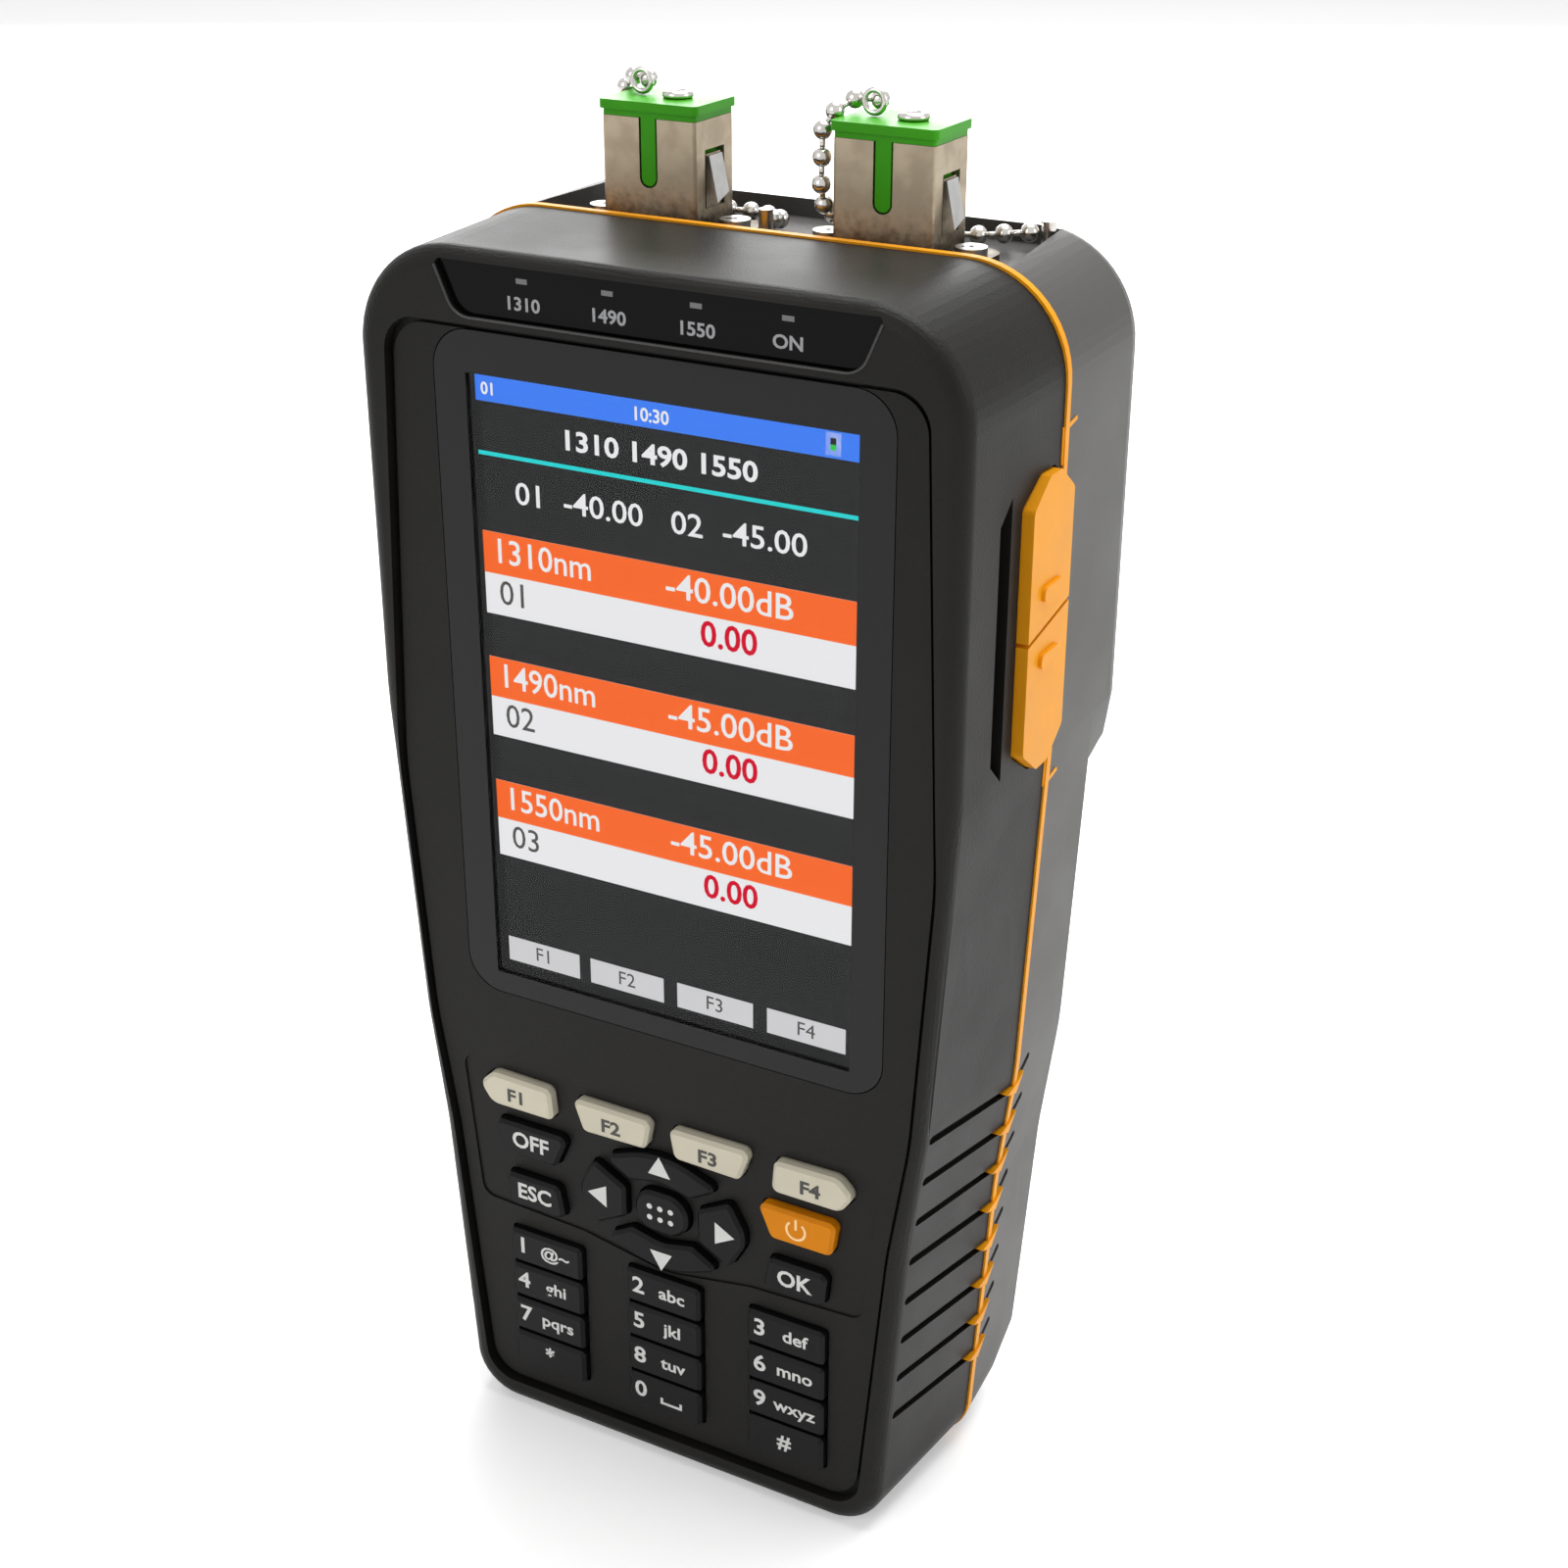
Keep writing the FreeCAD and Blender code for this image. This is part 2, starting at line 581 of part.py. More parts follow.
# ---------------------------------------------------------------- front shell
def cover_outline(gap):
    """Six-sided rubber cover on the right side, drawn on the (y, z) plane."""
    point = z["cover_point"]
    front, back = z["cover_front"] - gap, z["cover_back"] + gap
    top, bottom = z["cover_top"] + gap, z["cover_bottom"] - gap
    middle = (z["cover_front"] + z["cover_back"]) / 2
    tip, tip_radius, radius = z["cover_tip_half"], z["cover_tip_radius"], z["cover_radius"]
    return [(middle - tip, bottom, tip_radius), (middle + tip, bottom, tip_radius),
            (back, bottom + point, radius), (back, top - point, radius),
            (middle + tip, top, tip_radius), (middle - tip, top, tip_radius),
            (front, top - point, radius), (front, bottom + point, radius)]


cover_floor = z["seam_head_half"] - z["cover_thick"] + z["cover_seat_rise"]


def front_shell_body():
    body = new_body("front_shell")
    seam = new_sketch(body, "seam_section", "XZ_Plane", half_band)
    outline(seam, even_outline(no_draw))
    rim = new_sketch(body, "rim_section", "XZ_Plane", z["front_depth"])
    outline(rim, housing_outline(z["front_foot_draw"], z["front_waist_draw"],
                                 z["front_head_draw"], z["front_top_draw"], no_draw))
    form = loft(body, "outer_form", [seam, rim])
    round_edges(body, "rim_round", form, z["front_edge_radius"], flat_at("Y", front_rim))
    inner = z["front_head_draw"] + z["wall"]
    deep = z["front_depth"] - half_band - z["front_wall"]
    pocket(body, "cavity", "XZ_Plane", half_band,
           [housing_outline(z["front_foot_draw"] + z["wall"], z["front_waist_draw"] + z["wall"],
                            inner, inner, inner)], deep, reverse=True)
    disc(body, "bosses", "XZ_Plane", half_band, SCREW_PLACES, z["boss_radius"], deep)
    disc(body, "boss_holes", "XZ_Plane", half_band, SCREW_PLACES, z["screw_shank_radius"],
         deep - z["boss_hole_end"], cut=True, reverse=True)
    pocket(body, "panel_sink_cut", "XZ_Plane", z["front_depth"], [panel_outline(0.0)],
           z["panel_sink"])
    pocket(body, "groove", "XZ_Plane", z["front_depth"] - z["panel_sink"],
           [panel_outline(0.0), panel_outline(z["groove_wide"])], z["groove_deep"])
    pocket(body, "led_window_seat", "XZ_Plane", z["front_depth"], [led_window_outline(0.0)],
           z["led_window_sink"] + z["led_window_thick"])
    led_half = z["led_pitch"] * 1.5 + z["led_wide"]
    pocket(body, "led_recess", "XZ_Plane", z["front_depth"],
           [rectangle(z["display_offset"] - led_half, z["display_offset"] + led_half,
                      z["led_level"] - z["led_wide"] * 1.5, z["led_level"] + z["led_high"])],
           z["front_wall"] + z["display_thick"])
    pocket(body, "lens_seat", "XZ_Plane", z["front_depth"] - z["panel_sink"],
           [lens_outline(0.0)], z["lens_thick"])
    pocket(body, "display_opening", "XZ_Plane", z["front_depth"], [view_outline(z["view_rim"])],
           z["front_wall"] + z["cut_over"])
    pocket(body, "key_island", "XZ_Plane", z["front_depth"] - z["panel_sink"], [KEY_ISLAND],
           z["island_deep"])
    for number, loop in enumerate(key_openings()):
        pocket(body, f"key_opening_{number}", "XZ_Plane", z["front_depth"], [loop],
               z["front_wall"] + z["cut_over"])
    pocket(body, "cover_seat", "YZ_Plane", cover_floor, [cover_outline(z["cover_gap"])],
           z["cut_through"], reverse=True)
    slot_low = z["cover_bottom"] + z["finger_slot_inset"]
    slot_high = z["cover_top"] - z["finger_slot_inset"]
    slot = [(z["finger_slot_front"], slot_low + z["finger_slot_slant"], 0),
            (z["finger_slot_back"], slot_low, 0), (z["finger_slot_back"], slot_high, 0),
            (z["finger_slot_front"], slot_high - z["finger_slot_slant"], 0)]
    pocket(body, "finger_slot", "YZ_Plane", z["seam_head_half"] - z["finger_slot_deep"],
           [slot], z["cut_through"], reverse=True)
    usb_half = z["usb_wide"] / 2 + z["socket_gap"]
    usb_deep = z["usb_high"] / 2 + z["socket_gap"]
    pocket(body, "usb_opening", "YZ_Plane", z["riser_level"] + z["socket_cut_inset"],
           [rectangle(z["socket_level"] - usb_deep, z["socket_level"] + usb_deep,
                      z["usb_level"] - usb_half, z["usb_level"] + usb_half, z["usb_radius"])],
           z["cut_through"], reverse=True)
    disc(body, "jack_opening", "YZ_Plane", z["riser_level"] + z["socket_cut_inset"],
         [(z["socket_level"], z["jack_level"])], z["jack_radius"] + z["socket_gap"],
         z["cut_through"], cut=True, reverse=True)
    return cut_with_bars(body, "front_shell", slot_bars(True))


front_shell = front_shell_body()


# ---------------------------------------------------------------- back shell
back_face = z["head_back_depth"]
recess_end = z["recess_floor"] - z["recess_floor_thick"]
port_middle = z["port_front"] + z["port_deep"] / 2
door_low, door_high = z["battery_bottom"] - z["door_rim"], (
    z["battery_bottom"] + z["battery_high"] + z["door_rim"])


def door_outline(gap):
    half = z["battery_wide"] / 2 + z["door_rim"] - gap
    return rectangle(-half, half, door_low + gap, door_high - gap, z["door_radius"])


def battery_outline(gap):
    half = z["battery_wide"] / 2 + gap
    return rectangle(-half, half, z["battery_bottom"] - gap,
                     z["battery_bottom"] + z["battery_high"] + gap)


door_floor = z["grip_back_depth"] - z["door_thick"] / 2
DOOR_SCREWS = [(z["door_screw_half"] * side, level) for side in (-1.0, 1.0)
               for level in (door_low + z["door_rim"] / 2 - z["door_screw_inset"],
                             door_high - z["door_rim"] / 2 + z["door_screw_inset"])]


def ports():
    """Middle x of the left and the right fibre port."""
    return (("left", -z["port_pitch"] / 2), ("right", z["port_pitch"] / 2))


ADAPTER_SCREWS = [(middle + z["port_screw_half"] * end, port_middle)
                  for _, middle in ports() for end in (-1.0, 1.0)]
ANCHORS = [(z["anchor_left_x"], z["anchor_left_y"]), (z["anchor_right_x"], z["anchor_right_y"])]
RIGHT_PATH = [(-3.5, 1.5, 17.3), (-6.6, 1.0, 17.2), (-8.6, -3.0, 15.4), (-8.6, -3.4, 6.0),
              (-8.9, 0.5, 3.8), (-8.2, 6.4, 2.4), (-5.0, 7.4, 1.3), (6.0, 7.8, 1.4),
              (12.6, 9.3, 2.2)]
LEFT_PATH = [(-3.5, 1.5, 17.3), (-7.2, 3.2, 17.2), (-8.9, 4.6, 15.0), (-9.2, 4.6, 8.0),
             (-9.6, 5.2, 3.4), (-8.8, 7.0, 1.6), (-5.4, 7.4, 1.3), (9.0, 7.4, 1.3),
             (13.2, 4.6, 1.4), (13.6, 1.95, 2.0)]


def round_in(depth, face, radius):
    """How far a quarter-round edge has drawn in at a depth, on the way to a flat face."""
    past = depth - (face - radius)
    if float(past) <= 0:
        return no_draw
    return radius - root(radius * radius - past * past)


def grip_outline(depth):
    side = round_in(depth, z["grip_back_depth"], z["back_edge_radius"])
    foot = round_in(depth, z["grip_back_depth"], z["foot_back_radius"])
    return housing_outline(side, side, side, z["back_edge_radius"] + side, foot)


def head_outline(depth):
    side = round_in(depth, back_face, z["back_edge_radius"])
    step = z["step_low"] + (depth / back_face) * (depth / back_face) * (
        z["step_high"] - z["step_low"])
    half = z["seam_head_half"] - side
    return mirrored([(half - z["step_slant"], step, z["step_radius"]),
                     (half, z["head_level"], 0),
                     (half, z["body_top"] - side, z["head_corner_radius"])])


# A rounded edge is built from this many bands, and ends just short of its own tangent.
ARC_STEPS = 4
ARC_SHARE = 0.9999


def rounded_back(body, name, face, radius, corners_at):
    """Smooth form from the seam to a flat back whose edges are rounded off."""
    sections = []
    first = new_sketch(body, f"{name}_seam", "XZ_Plane", -half_band)
    outline(first, corners_at(half_band))
    sections.append(first)
    for step in range(ARC_STEPS + 1):
        turn = math.pi / 2 * step / ARC_STEPS
        depth = face - radius + radius * math.sin(turn) * ARC_SHARE
        sketch = new_sketch(body, f"{name}_{step}", "XZ_Plane", -depth)
        outline(sketch, corners_at(depth))
        sections.append(sketch)
    return loft(body, name, sections, ruled=True)


def back_shell_body():
    body = new_body("back_shell")
    rounded_back(body, "grip_form", z["grip_back_depth"], z["foot_back_radius"], grip_outline)
    rounded_back(body, "head_form", back_face, z["back_edge_radius"], head_outline)
    inner = z["back_draw"] + z["wall"]
    shallow = z["grip_back_depth"] - half_band - z["back_wall"]
    head_deep = back_face - half_band - z["head_wall"]
    pocket(body, "cavity", "XZ_Plane", -half_band,
           [mirrored([(z["seam_foot_half"] - inner, z["cavity_foot"], z["cavity_foot_radius"]),
                      (z["seam_waist_half"] - inner, z["waist_level"], z["side_blend_radius"]),
                      (z["seam_neck_half"] - inner, z["neck_level"], z["side_blend_radius"]),
                      (z["seam_head_half"] - inner, z["head_level"], z["side_blend_radius"]),
                      (z["seam_head_half"] - inner, recess_end, z["cavity_top_radius"])])], shallow)
    half = z["seam_head_half"] - inner - z["head_cavity_inset"]
    pocket(body, "head_cavity", "XZ_Plane", -half_band,
           [rectangle(-half, half, z["step_high"] + z["head_cavity_inset"], recess_end,
                      z["head_cavity_radius"])], head_deep)
    # open tray on top of the head, with a sloping right-hand end
    half = z["recess_half"]
    slant, radius = z["recess_slant"], z["recess_radius"]
    pocket(body, "port_tray", "XY_Plane", z["body_top"] + z["cut_over"],
           [[(-half, half_band, 0), (half + slant, half_band, 0),
             (half, z["recess_back"], radius), (slant - half, z["recess_back"], radius)]],
           z["body_top"] + z["cut_over"] - z["recess_floor"])
    for side, middle in ports():
        wide, deep = z["port_wide"] / 2 + z["fit_gap"], z["port_deep"] / 2 + z["fit_gap"]
        pocket(body, f"port_opening_{side}", "XY_Plane", z["recess_floor"] + z["cut_over"],
               [rectangle(middle - wide, middle + wide, port_middle - deep,
                          port_middle + deep)], z["recess_floor_thick"] + z["cut_over"] * 2.0)
    disc(body, "low_bosses", "XZ_Plane", -half_band, SCREW_PLACES[::2],
         z["screw_bore_radius"] + z["bore_wall"], shallow, reverse=True)
    disc(body, "high_bosses", "XZ_Plane", -half_band, SCREW_PLACES[1::2],
         z["screw_bore_radius"] + z["bore_wall"], head_deep, reverse=True)
    disc(body, "screw_holes", "XZ_Plane", -half_band, SCREW_PLACES,
         z["screw_shank_radius"] + z["screw_gap"], None, cut=True)
    disc(body, "screw_bores", "XZ_Plane", -(half_band + z["boss_radius"]), SCREW_PLACES,
         z["screw_bore_radius"], None, cut=True)
    pocket(body, "battery_opening", "XZ_Plane",
           -(z["grip_back_depth"] - z["back_wall"] - z["cut_over"]),
           [battery_outline(z["battery_gap"])], z["cut_through"])
    pocket(body, "door_seat", "XZ_Plane", -door_floor, [door_outline(0.0)],
           z["cut_through"])
    disc(body, "door_screw_holes", "XZ_Plane", -half_band, DOOR_SCREWS,
         z["door_screw_radius"], None, cut=True)
    disc(body, "adapter_screw_holes", "XY_Plane", z["recess_floor"], ADAPTER_SCREWS,
         z["adapter_screw_radius"] + touch, z["recess_floor_thick"] + z["cut_over"], cut=True)
    disc(body, "anchor_holes", "XY_Plane", z["recess_floor"], ANCHORS,
         z["anchor_stud"] + touch, z["recess_floor_thick"] / 2 + touch, cut=True)
    pocket(body, "cover_seat", "YZ_Plane", cover_floor, [cover_outline(z["cover_gap"])],
           z["cut_through"], reverse=True)
    return cut_with_bars(body, "back_shell", slot_bars(False))


back_shell = back_shell_body()


# ---------------------------------------------------------------- band and socket cover
def seam_band_body():
    """Rubber band round the seam, with a lozenge filling each crossing of a grip slot."""
    body = new_body("seam_band_ring")
    pad(body, "ring", "XZ_Plane", half_band - touch,
        [housing_outline(-z["band_proud"], -z["band_proud"], -z["band_proud"], -z["band_proud"],
                         touch), even_outline(z["band_deep"])],
        z["band_thick"] - touch * 2.0, reverse=True)
    pocket(body, "cover_notch", "YZ_Plane", cover_floor, [cover_outline(z["cover_gap"])],
           z["cut_through"], reverse=True)
    n = {alias: float(value) for alias, value in z.items()}
    lozenges = []
    for step in range(int(n["slot_count"])):
        level = n["slot_first"] - n["slot_pitch"] * step
        front_tip = level + n["slot_front_rise"] * n["lozenge_front"] / n["slot_front"]
        back_tip = level + n["slot_back_rise"] * n["lozenge_back"] / n["slot_back"]
        half = n["lozenge_high"] / 2
        for side in (-1, 1):
            at = side * side_half(level, 0.0)
            inner = at - side * (n["slot_deep"] - float(touch) * 2)
            points = [Vector(inner, n["lozenge_front"], front_tip), Vector(inner, 0, level - half),
                      Vector(inner, n["lozenge_back"], back_tip), Vector(inner, 0, level + half)]
            face = Part.Face(Part.makePolygon(points + points[:1]))
            reach = n["slot_deep"] + n["lozenge_proud"]
            lozenges.append(face.extrude(Vector(side * reach, 0, 0)))
    grips = doc.addObject("Part::Feature", "seam_band_lozenges")
    grips.Shape = Part.makeCompound(lozenges)
    result = doc.addObject("Part::Fuse", "seam_band")
    result.Base = body
    result.Tool = grips
    return result


def cover_flap(name, upper):
    """One half of the rubber cover; the halves meet at a slanting slit."""
    body = new_body(name)
    low, high = z["cover_bottom"], z["cover_top"]
    middle, point, slant = (low + high) / 2, z["cover_point"], z["cover_slant"]
    front, back = z["cover_front"], z["cover_back"]
    centre = (front + back) / 2
    half_slit = z["cover_slit"] / 2
    tip, tip_radius, radius = z["cover_tip_half"], z["cover_tip_radius"], z["cover_radius"]
    if upper:
        loop = [(front, middle + half_slit - slant, 0), (back, middle + half_slit + slant, 0),
                (back, high - point, radius), (centre + tip, high, tip_radius),
                (centre - tip, high, tip_radius), (front, high - point, radius)]
        grip = middle + slant + z["thumb_offset"]
    else:
        loop = [(front, middle - half_slit - slant, 0), (front, low + point, radius),
                (centre - tip, low, tip_radius), (centre + tip, low, tip_radius),
                (back, low + point, radius), (back, middle - half_slit + slant, 0)]
        grip = middle - slant - z["thumb_offset"]
    lift = z["cover_gap"]
    pad(body, f"{name}_plate", "YZ_Plane", cover_floor + lift, [loop], z["cover_thick"] - lift)
    half = z["thumb_wide"] / 2
    pad(body, f"{name}_thumb", "YZ_Plane", cover_floor + lift,
        [rectangle(centre - half, centre + half, grip - z["thumb_high"] / 2,
                   grip + z["thumb_high"] / 2, z["thumb_radius"])],
        z["cover_thick"] - lift + z["thumb_proud"])
    return body


# ---------------------------------------------------------------- window, lens, boards
def plate(name, role, offset, loops, length, reverse=True):
    body = new_body(name)
    pad(body, f"{name}_plate", role, offset, loops, length, reverse)
    return body


board_front = -z["front_depth"] + z["front_wall"] + z["display_thick"]
board_back = board_front + z["board_thick"]
mat_front = board_front - z["mat_thick"] - touch


def stepped(levels):
    """Upright outline whose half width changes at the listed levels."""
    right = []
    for half, low, high in levels:
        right += [(half, low, 0), (half, high, 0)]
    return mirrored(right)


def mat_outline(inset):
    return stepped([(z["mat_low_half"] - inset, z["mat_bottom"] + inset, z["mat_low_top"] + inset),
                    (z["mat_middle_half"] - inset, z["mat_low_top"] + inset,
                     z["mat_middle_top"] + inset),
                    (z["mat_high_half"] - inset, z["mat_middle_top"] + inset,
                     z["mat_top"] - inset)])


def keypad_mat_body():
    body = new_body("keypad_mat")
    pad(body, "mat_sheet", "XZ_Plane", -mat_front, [mat_outline(0.0)], z["mat_thick"],
        reverse=True)
    pad(body, "mat_collar", "XZ_Plane", -mat_front,
        [mat_outline(0.0), mat_outline(z["mat_collar"])],
        mat_front - (front_rim + z["front_wall"]) - touch)
    return body


def indicator_body():
    """Four light guides, each with a foot on the board."""
    body = new_body("indicator_leds")
    window_back = front_rim + z["led_window_sink"] + z["led_window_thick"]
    arms, feet = [], []
    for step in (-1.5, -0.5, 0.5, 1.5):
        middle = z["display_offset"] + z["led_pitch"] * step
        left, right = middle - z["led_wide"] / 2, middle + z["led_wide"] / 2
        top = z["led_level"] + z["led_high"] / 2
        arms.append(rectangle(left, right, z["led_level"] - z["led_high"] / 2, top))
        feet.append(rectangle(left, right, z["led_level"] - z["led_wide"], top))
    reach = board_front - window_back - touch * 2.0
    pad(body, "light_arms", "XZ_Plane", -(window_back + touch), arms, reach, reverse=True)
    pad(body, "light_feet", "XZ_Plane", -(window_back + touch + reach / 2), feet, reach / 2,
        reverse=True)
    return body


def usb_body():
    body = new_body("usb_socket")
    wide, deep = z["usb_wide"] / 2, z["usb_high"] / 2
    level, row = z["usb_level"], z["socket_level"]
    rear = z["riser_level"] + z["board_thick"] + touch
    face = cover_floor - z["socket_back"]
    pad(body, "usb_shell", "YZ_Plane", rear,
        [rectangle(row - deep, row + deep, level - wide, level + wide, z["usb_radius"])],
        face - rear)
    wall = z["socket_wall"]
    pocket(body, "usb_mouth", "YZ_Plane", face,
           [rectangle(row - deep + wall, row + deep - wall, level - wide + wall,
                      level + wide - wall, z["usb_radius"] - wall)], z["socket_mouth"])
    pad(body, "usb_tongue", "YZ_Plane", face - z["socket_mouth"],
        [rectangle(row - wall, row + wall, level - wide / 2, level + wide / 2)],
        z["socket_mouth"] - wall)
    return body


def jack_body():
    body = new_body("charge_jack")
    rear = z["riser_level"] + z["board_thick"] + touch
    face = cover_floor - z["socket_back"]
    spot = [(z["socket_level"], z["jack_level"])]
    disc(body, "jack_barrel", "YZ_Plane", rear, spot, z["jack_radius"], face - rear)
    disc(body, "jack_mouth", "YZ_Plane", face, spot, z["jack_radius"] - z["socket_wall"] * 2.0,
         z["socket_mouth"], cut=True)
    disc(body, "jack_pin", "YZ_Plane", face - z["socket_mouth"], spot, z["jack_pin_radius"],
         z["socket_mouth"] - z["socket_wall"])
    return body


# ---------------------------------------------------------------- battery and screws
def battery_door_body():
    body = new_body("battery_door")
    pad(body, "door_plate", "XZ_Plane", -(door_floor + touch), [door_outline(z["fit_gap"])],
        z["grip_back_depth"] - door_floor - touch, reverse=True)
    pad(body, "door_plug", "XZ_Plane", -(door_floor + touch),
        [battery_outline(z["battery_gap"] - z["plug_gap"])], z["door_thick"] / 2 - touch)
    disc(body, "door_holes", "XZ_Plane", -door_floor + z["door_thick"], DOOR_SCREWS,
         z["door_screw_radius"] + touch, None, cut=True)
    disc(body, "door_sinks", "XZ_Plane", -(door_floor + z["door_screw_high"]), DOOR_SCREWS,
         z["door_screw_head"] + touch * 2.0, None, cut=True)
    return body


def screws(name, role, offset, spots, head, high, shank, length, backwards):
    """Identical pan-head screws; the offset is the level of the seat under the heads."""
    body = new_body(name)
    disc(body, f"{name}_shanks", role, offset, spots, shank, length, reverse=backwards)
    disc(body, f"{name}_heads", role, offset, spots, head, high, reverse=not backwards)
    return body


# ---------------------------------------------------------------- fibre ports and caps
def keyway_outline(middle, gap, top):
    """Keyway of a port, or the cap's tongue inside it: round at the bottom, open at the top."""
    half = z["keyway_wide"] / 2 - gap
    low, radius = z["port_top"] - z["keyway_deep"] + gap, half * 0.98
    return [(middle - half, low, radius), (middle + half, low, radius),
            (middle + half, top, 0), (middle - half, top, 0)]


def adapter_body(side, middle):
    body = new_body(f"adapter_{side}")
    wide, deep, wall = z["port_wide"] / 2, z["port_deep"] / 2, z["port_wall"]
    low = z["recess_floor"] - z["port_below"]
    block = rectangle(middle - wide, middle + wide, port_middle - deep, port_middle + deep,
                      z["port_radius"])
    mouth = rectangle(middle - wide + wall, middle + wide - wall, port_middle - deep + wall,
                      port_middle + deep - wall, z["port_mouth_radius"])
    wall_cut = z["cut_over"] + wall + touch * 2.0
    pad(body, "block", "XY_Plane", low, [block], z["port_top"] - low)
    half = z["port_flange_half"]
    pad(body, "flange", "XY_Plane", z["recess_floor"] + touch,
        [rectangle(middle - half, middle + half, port_middle - deep, port_middle + deep,
                   z["port_flange_round"])], z["port_flange_thick"])
    pocket(body, "mouth", "XY_Plane", z["port_top"], [mouth], z["port_mouth"])
    pocket(body, "rear_mouth", "XY_Plane", low, [mouth], z["port_rear_mouth"], reverse=True)
    spot = [(middle, port_middle)]
    disc(body, "sleeve", "XY_Plane", z["port_top"] - z["port_mouth"], spot, z["sleeve_radius"],
         z["sleeve_high"])
    disc(body, "bore", "XY_Plane", z["port_top"], spot, z["sleeve_bore"], z["port_top"] - low,
         cut=True)
    pocket(body, "keyway", "XZ_Plane", -(z["port_front"] - z["cut_over"]),
           [keyway_outline(middle, no_draw, z["port_top"] + z["cut_over"])], wall_cut)
    window = rectangle(port_middle - z["window_wide"] / 2, port_middle + z["window_wide"] / 2,
                       z["window_low"], z["window_low"] + z["window_high"])
    pocket(body, "right_window", "YZ_Plane", middle + wide + z["cut_over"], [window], wall_cut)
    pocket(body, "left_window", "YZ_Plane", middle - wide - z["cut_over"], [window], wall_cut,
           reverse=True)
    half_latch = z["window_wide"] / 2 - z["latch_gap"]
    latch = rectangle(port_middle - half_latch, port_middle + half_latch, z["window_low"],
                      z["window_low"] + z["window_high"] - z["latch_gap"])
    pad(body, "right_latch", "YZ_Plane", middle + wide - z["latch_sink"] - z["latch_thick"],
        [latch], z["latch_thick"])
    pad(body, "left_latch", "YZ_Plane", middle - wide + z["latch_sink"], [latch],
        z["latch_thick"])
    holes = [spot for spot in ADAPTER_SCREWS if abs(float(spot[0] - middle)) < float(half)]
    disc(body, "flange_holes", "XY_Plane",
         z["recess_floor"] + z["port_flange_thick"] + z["cut_over"], holes,
         z["adapter_screw_radius"] + touch * 2.0, z["port_flange_thick"] + z["cut_over"] * 2.0,
         cut=True)
    return body


def receiver_body(side, middle):
    """Light detector can with a nose that reaches up into the adapter."""
    body = new_body(f"receiver_{side}")
    top = z["recess_floor"] - z["port_below"] - touch
    spot = [(middle, port_middle)]
    disc(body, "can", "XY_Plane", top - z["receiver_high"], spot, z["receiver_radius"],
         z["receiver_high"])
    disc(body, "nose", "XY_Plane", top, spot, z["receiver_nose"], z["receiver_nose_high"])
    return body


plate_low = z["port_top"] + z["cap_stand"] - z["cap_plate"]
cap_top = z["port_top"] + z["cap_stand"]


def cap_body(side, middle):
    body = new_body(f"cap_{side}")
    wide = z["port_wide"] / 2 + z["cap_over"]
    deep = z["port_deep"] / 2 + z["cap_over"]
    pad(body, "cap_plate", "XY_Plane", plate_low,
        [rectangle(middle - wide, middle + wide, port_middle - deep, port_middle + deep,
                   z["cap_radius"])], z["cap_plate"])
    wide = z["port_wide"] / 2 - z["port_wall"] - z["cap_gap"]
    deep = z["port_deep"] / 2 - z["port_wall"] - z["cap_gap"]
    pad(body, "cap_block", "XY_Plane", plate_low - z["cap_depth"],
        [rectangle(middle - wide, middle + wide, port_middle - deep, port_middle + deep,
                   z["port_radius"])], z["cap_depth"])
    wide, collar_deep = z["port_wide"] / 2 - touch, z["port_deep"] / 2 - touch
    pad(body, "cap_collar", "XY_Plane", z["port_top"] + touch,
        [rectangle(middle - wide, middle + wide, port_middle - collar_deep,
                   port_middle + collar_deep, z["port_radius"])],
        plate_low - z["port_top"] - touch)
    pad(body, "cap_tongue", "XZ_Plane", -(z["port_front"] + touch),
        [keyway_outline(middle, z["cap_gap"], plate_low)],
        z["port_wall"] + z["cap_gap"] + z["cut_over"], reverse=True)
    disc(body, "cap_bore", "XY_Plane", plate_low - z["cap_depth"], [(middle, port_middle)],
         z["sleeve_radius"] + z["cap_gap"] * 2.0, z["cap_bore_deep"], cut=True, reverse=True)
    return body


def eyelet_body(side, middle):
    body = new_body(f"cap_eyelet_{side}")
    spot = [(middle + z["eyelet_offset"], port_middle)]
    disc(body, "eyelet", "XY_Plane", cap_top + touch, spot, z["eyelet_radius"], z["eyelet_high"])
    disc(body, "eyelet_hole", "XY_Plane", cap_top + z["eyelet_high"] + touch, spot,
         z["eyelet_hole"], z["eyelet_high"] / 2, cut=True)
    return body


def ring_body(side, middle):
    """Ring standing on the cap, facing the front."""
    body = new_body(f"cap_ring_{side}")
    reach = z["ring_radius"] + z["ring_wire"]
    spot = [(middle - z["ring_offset"], cap_top + reach + touch)]
    disc(body, "ring", "XZ_Plane", -(port_middle - z["ring_wire"]), spot, reach,
         z["ring_wire"] * 2.0, reverse=True)
    disc(body, "ring_hole", "XZ_Plane", -(port_middle - z["ring_wire"]), spot,
         z["ring_radius"] - z["ring_wire"], None, cut=True)
    return body


# ---------------------------------------------------------------- bead chains
def bead(at, radius):
    """Twenty-sided bead."""
    g = (1 + math.sqrt(5)) / 2
    scale = radius / math.sqrt(1 + g * g)
    corners = []
    for a in (-1, 1):
        for b in (-g, g):
            corners += [Vector(0, a, b), Vector(a, b, 0), Vector(b, 0, a)]
    faces = []
    for trio in itertools.combinations(corners, 3):
        if max((trio[m] - trio[m - 1]).Length for m in range(3)) < g + 1:
            points = [at + corner * scale for corner in trio]
            faces.append(Part.Face(Part.makePolygon(points + points[:1])))
    return Part.makeSolid(Part.makeShell(faces))


LINK_SIDES = 6


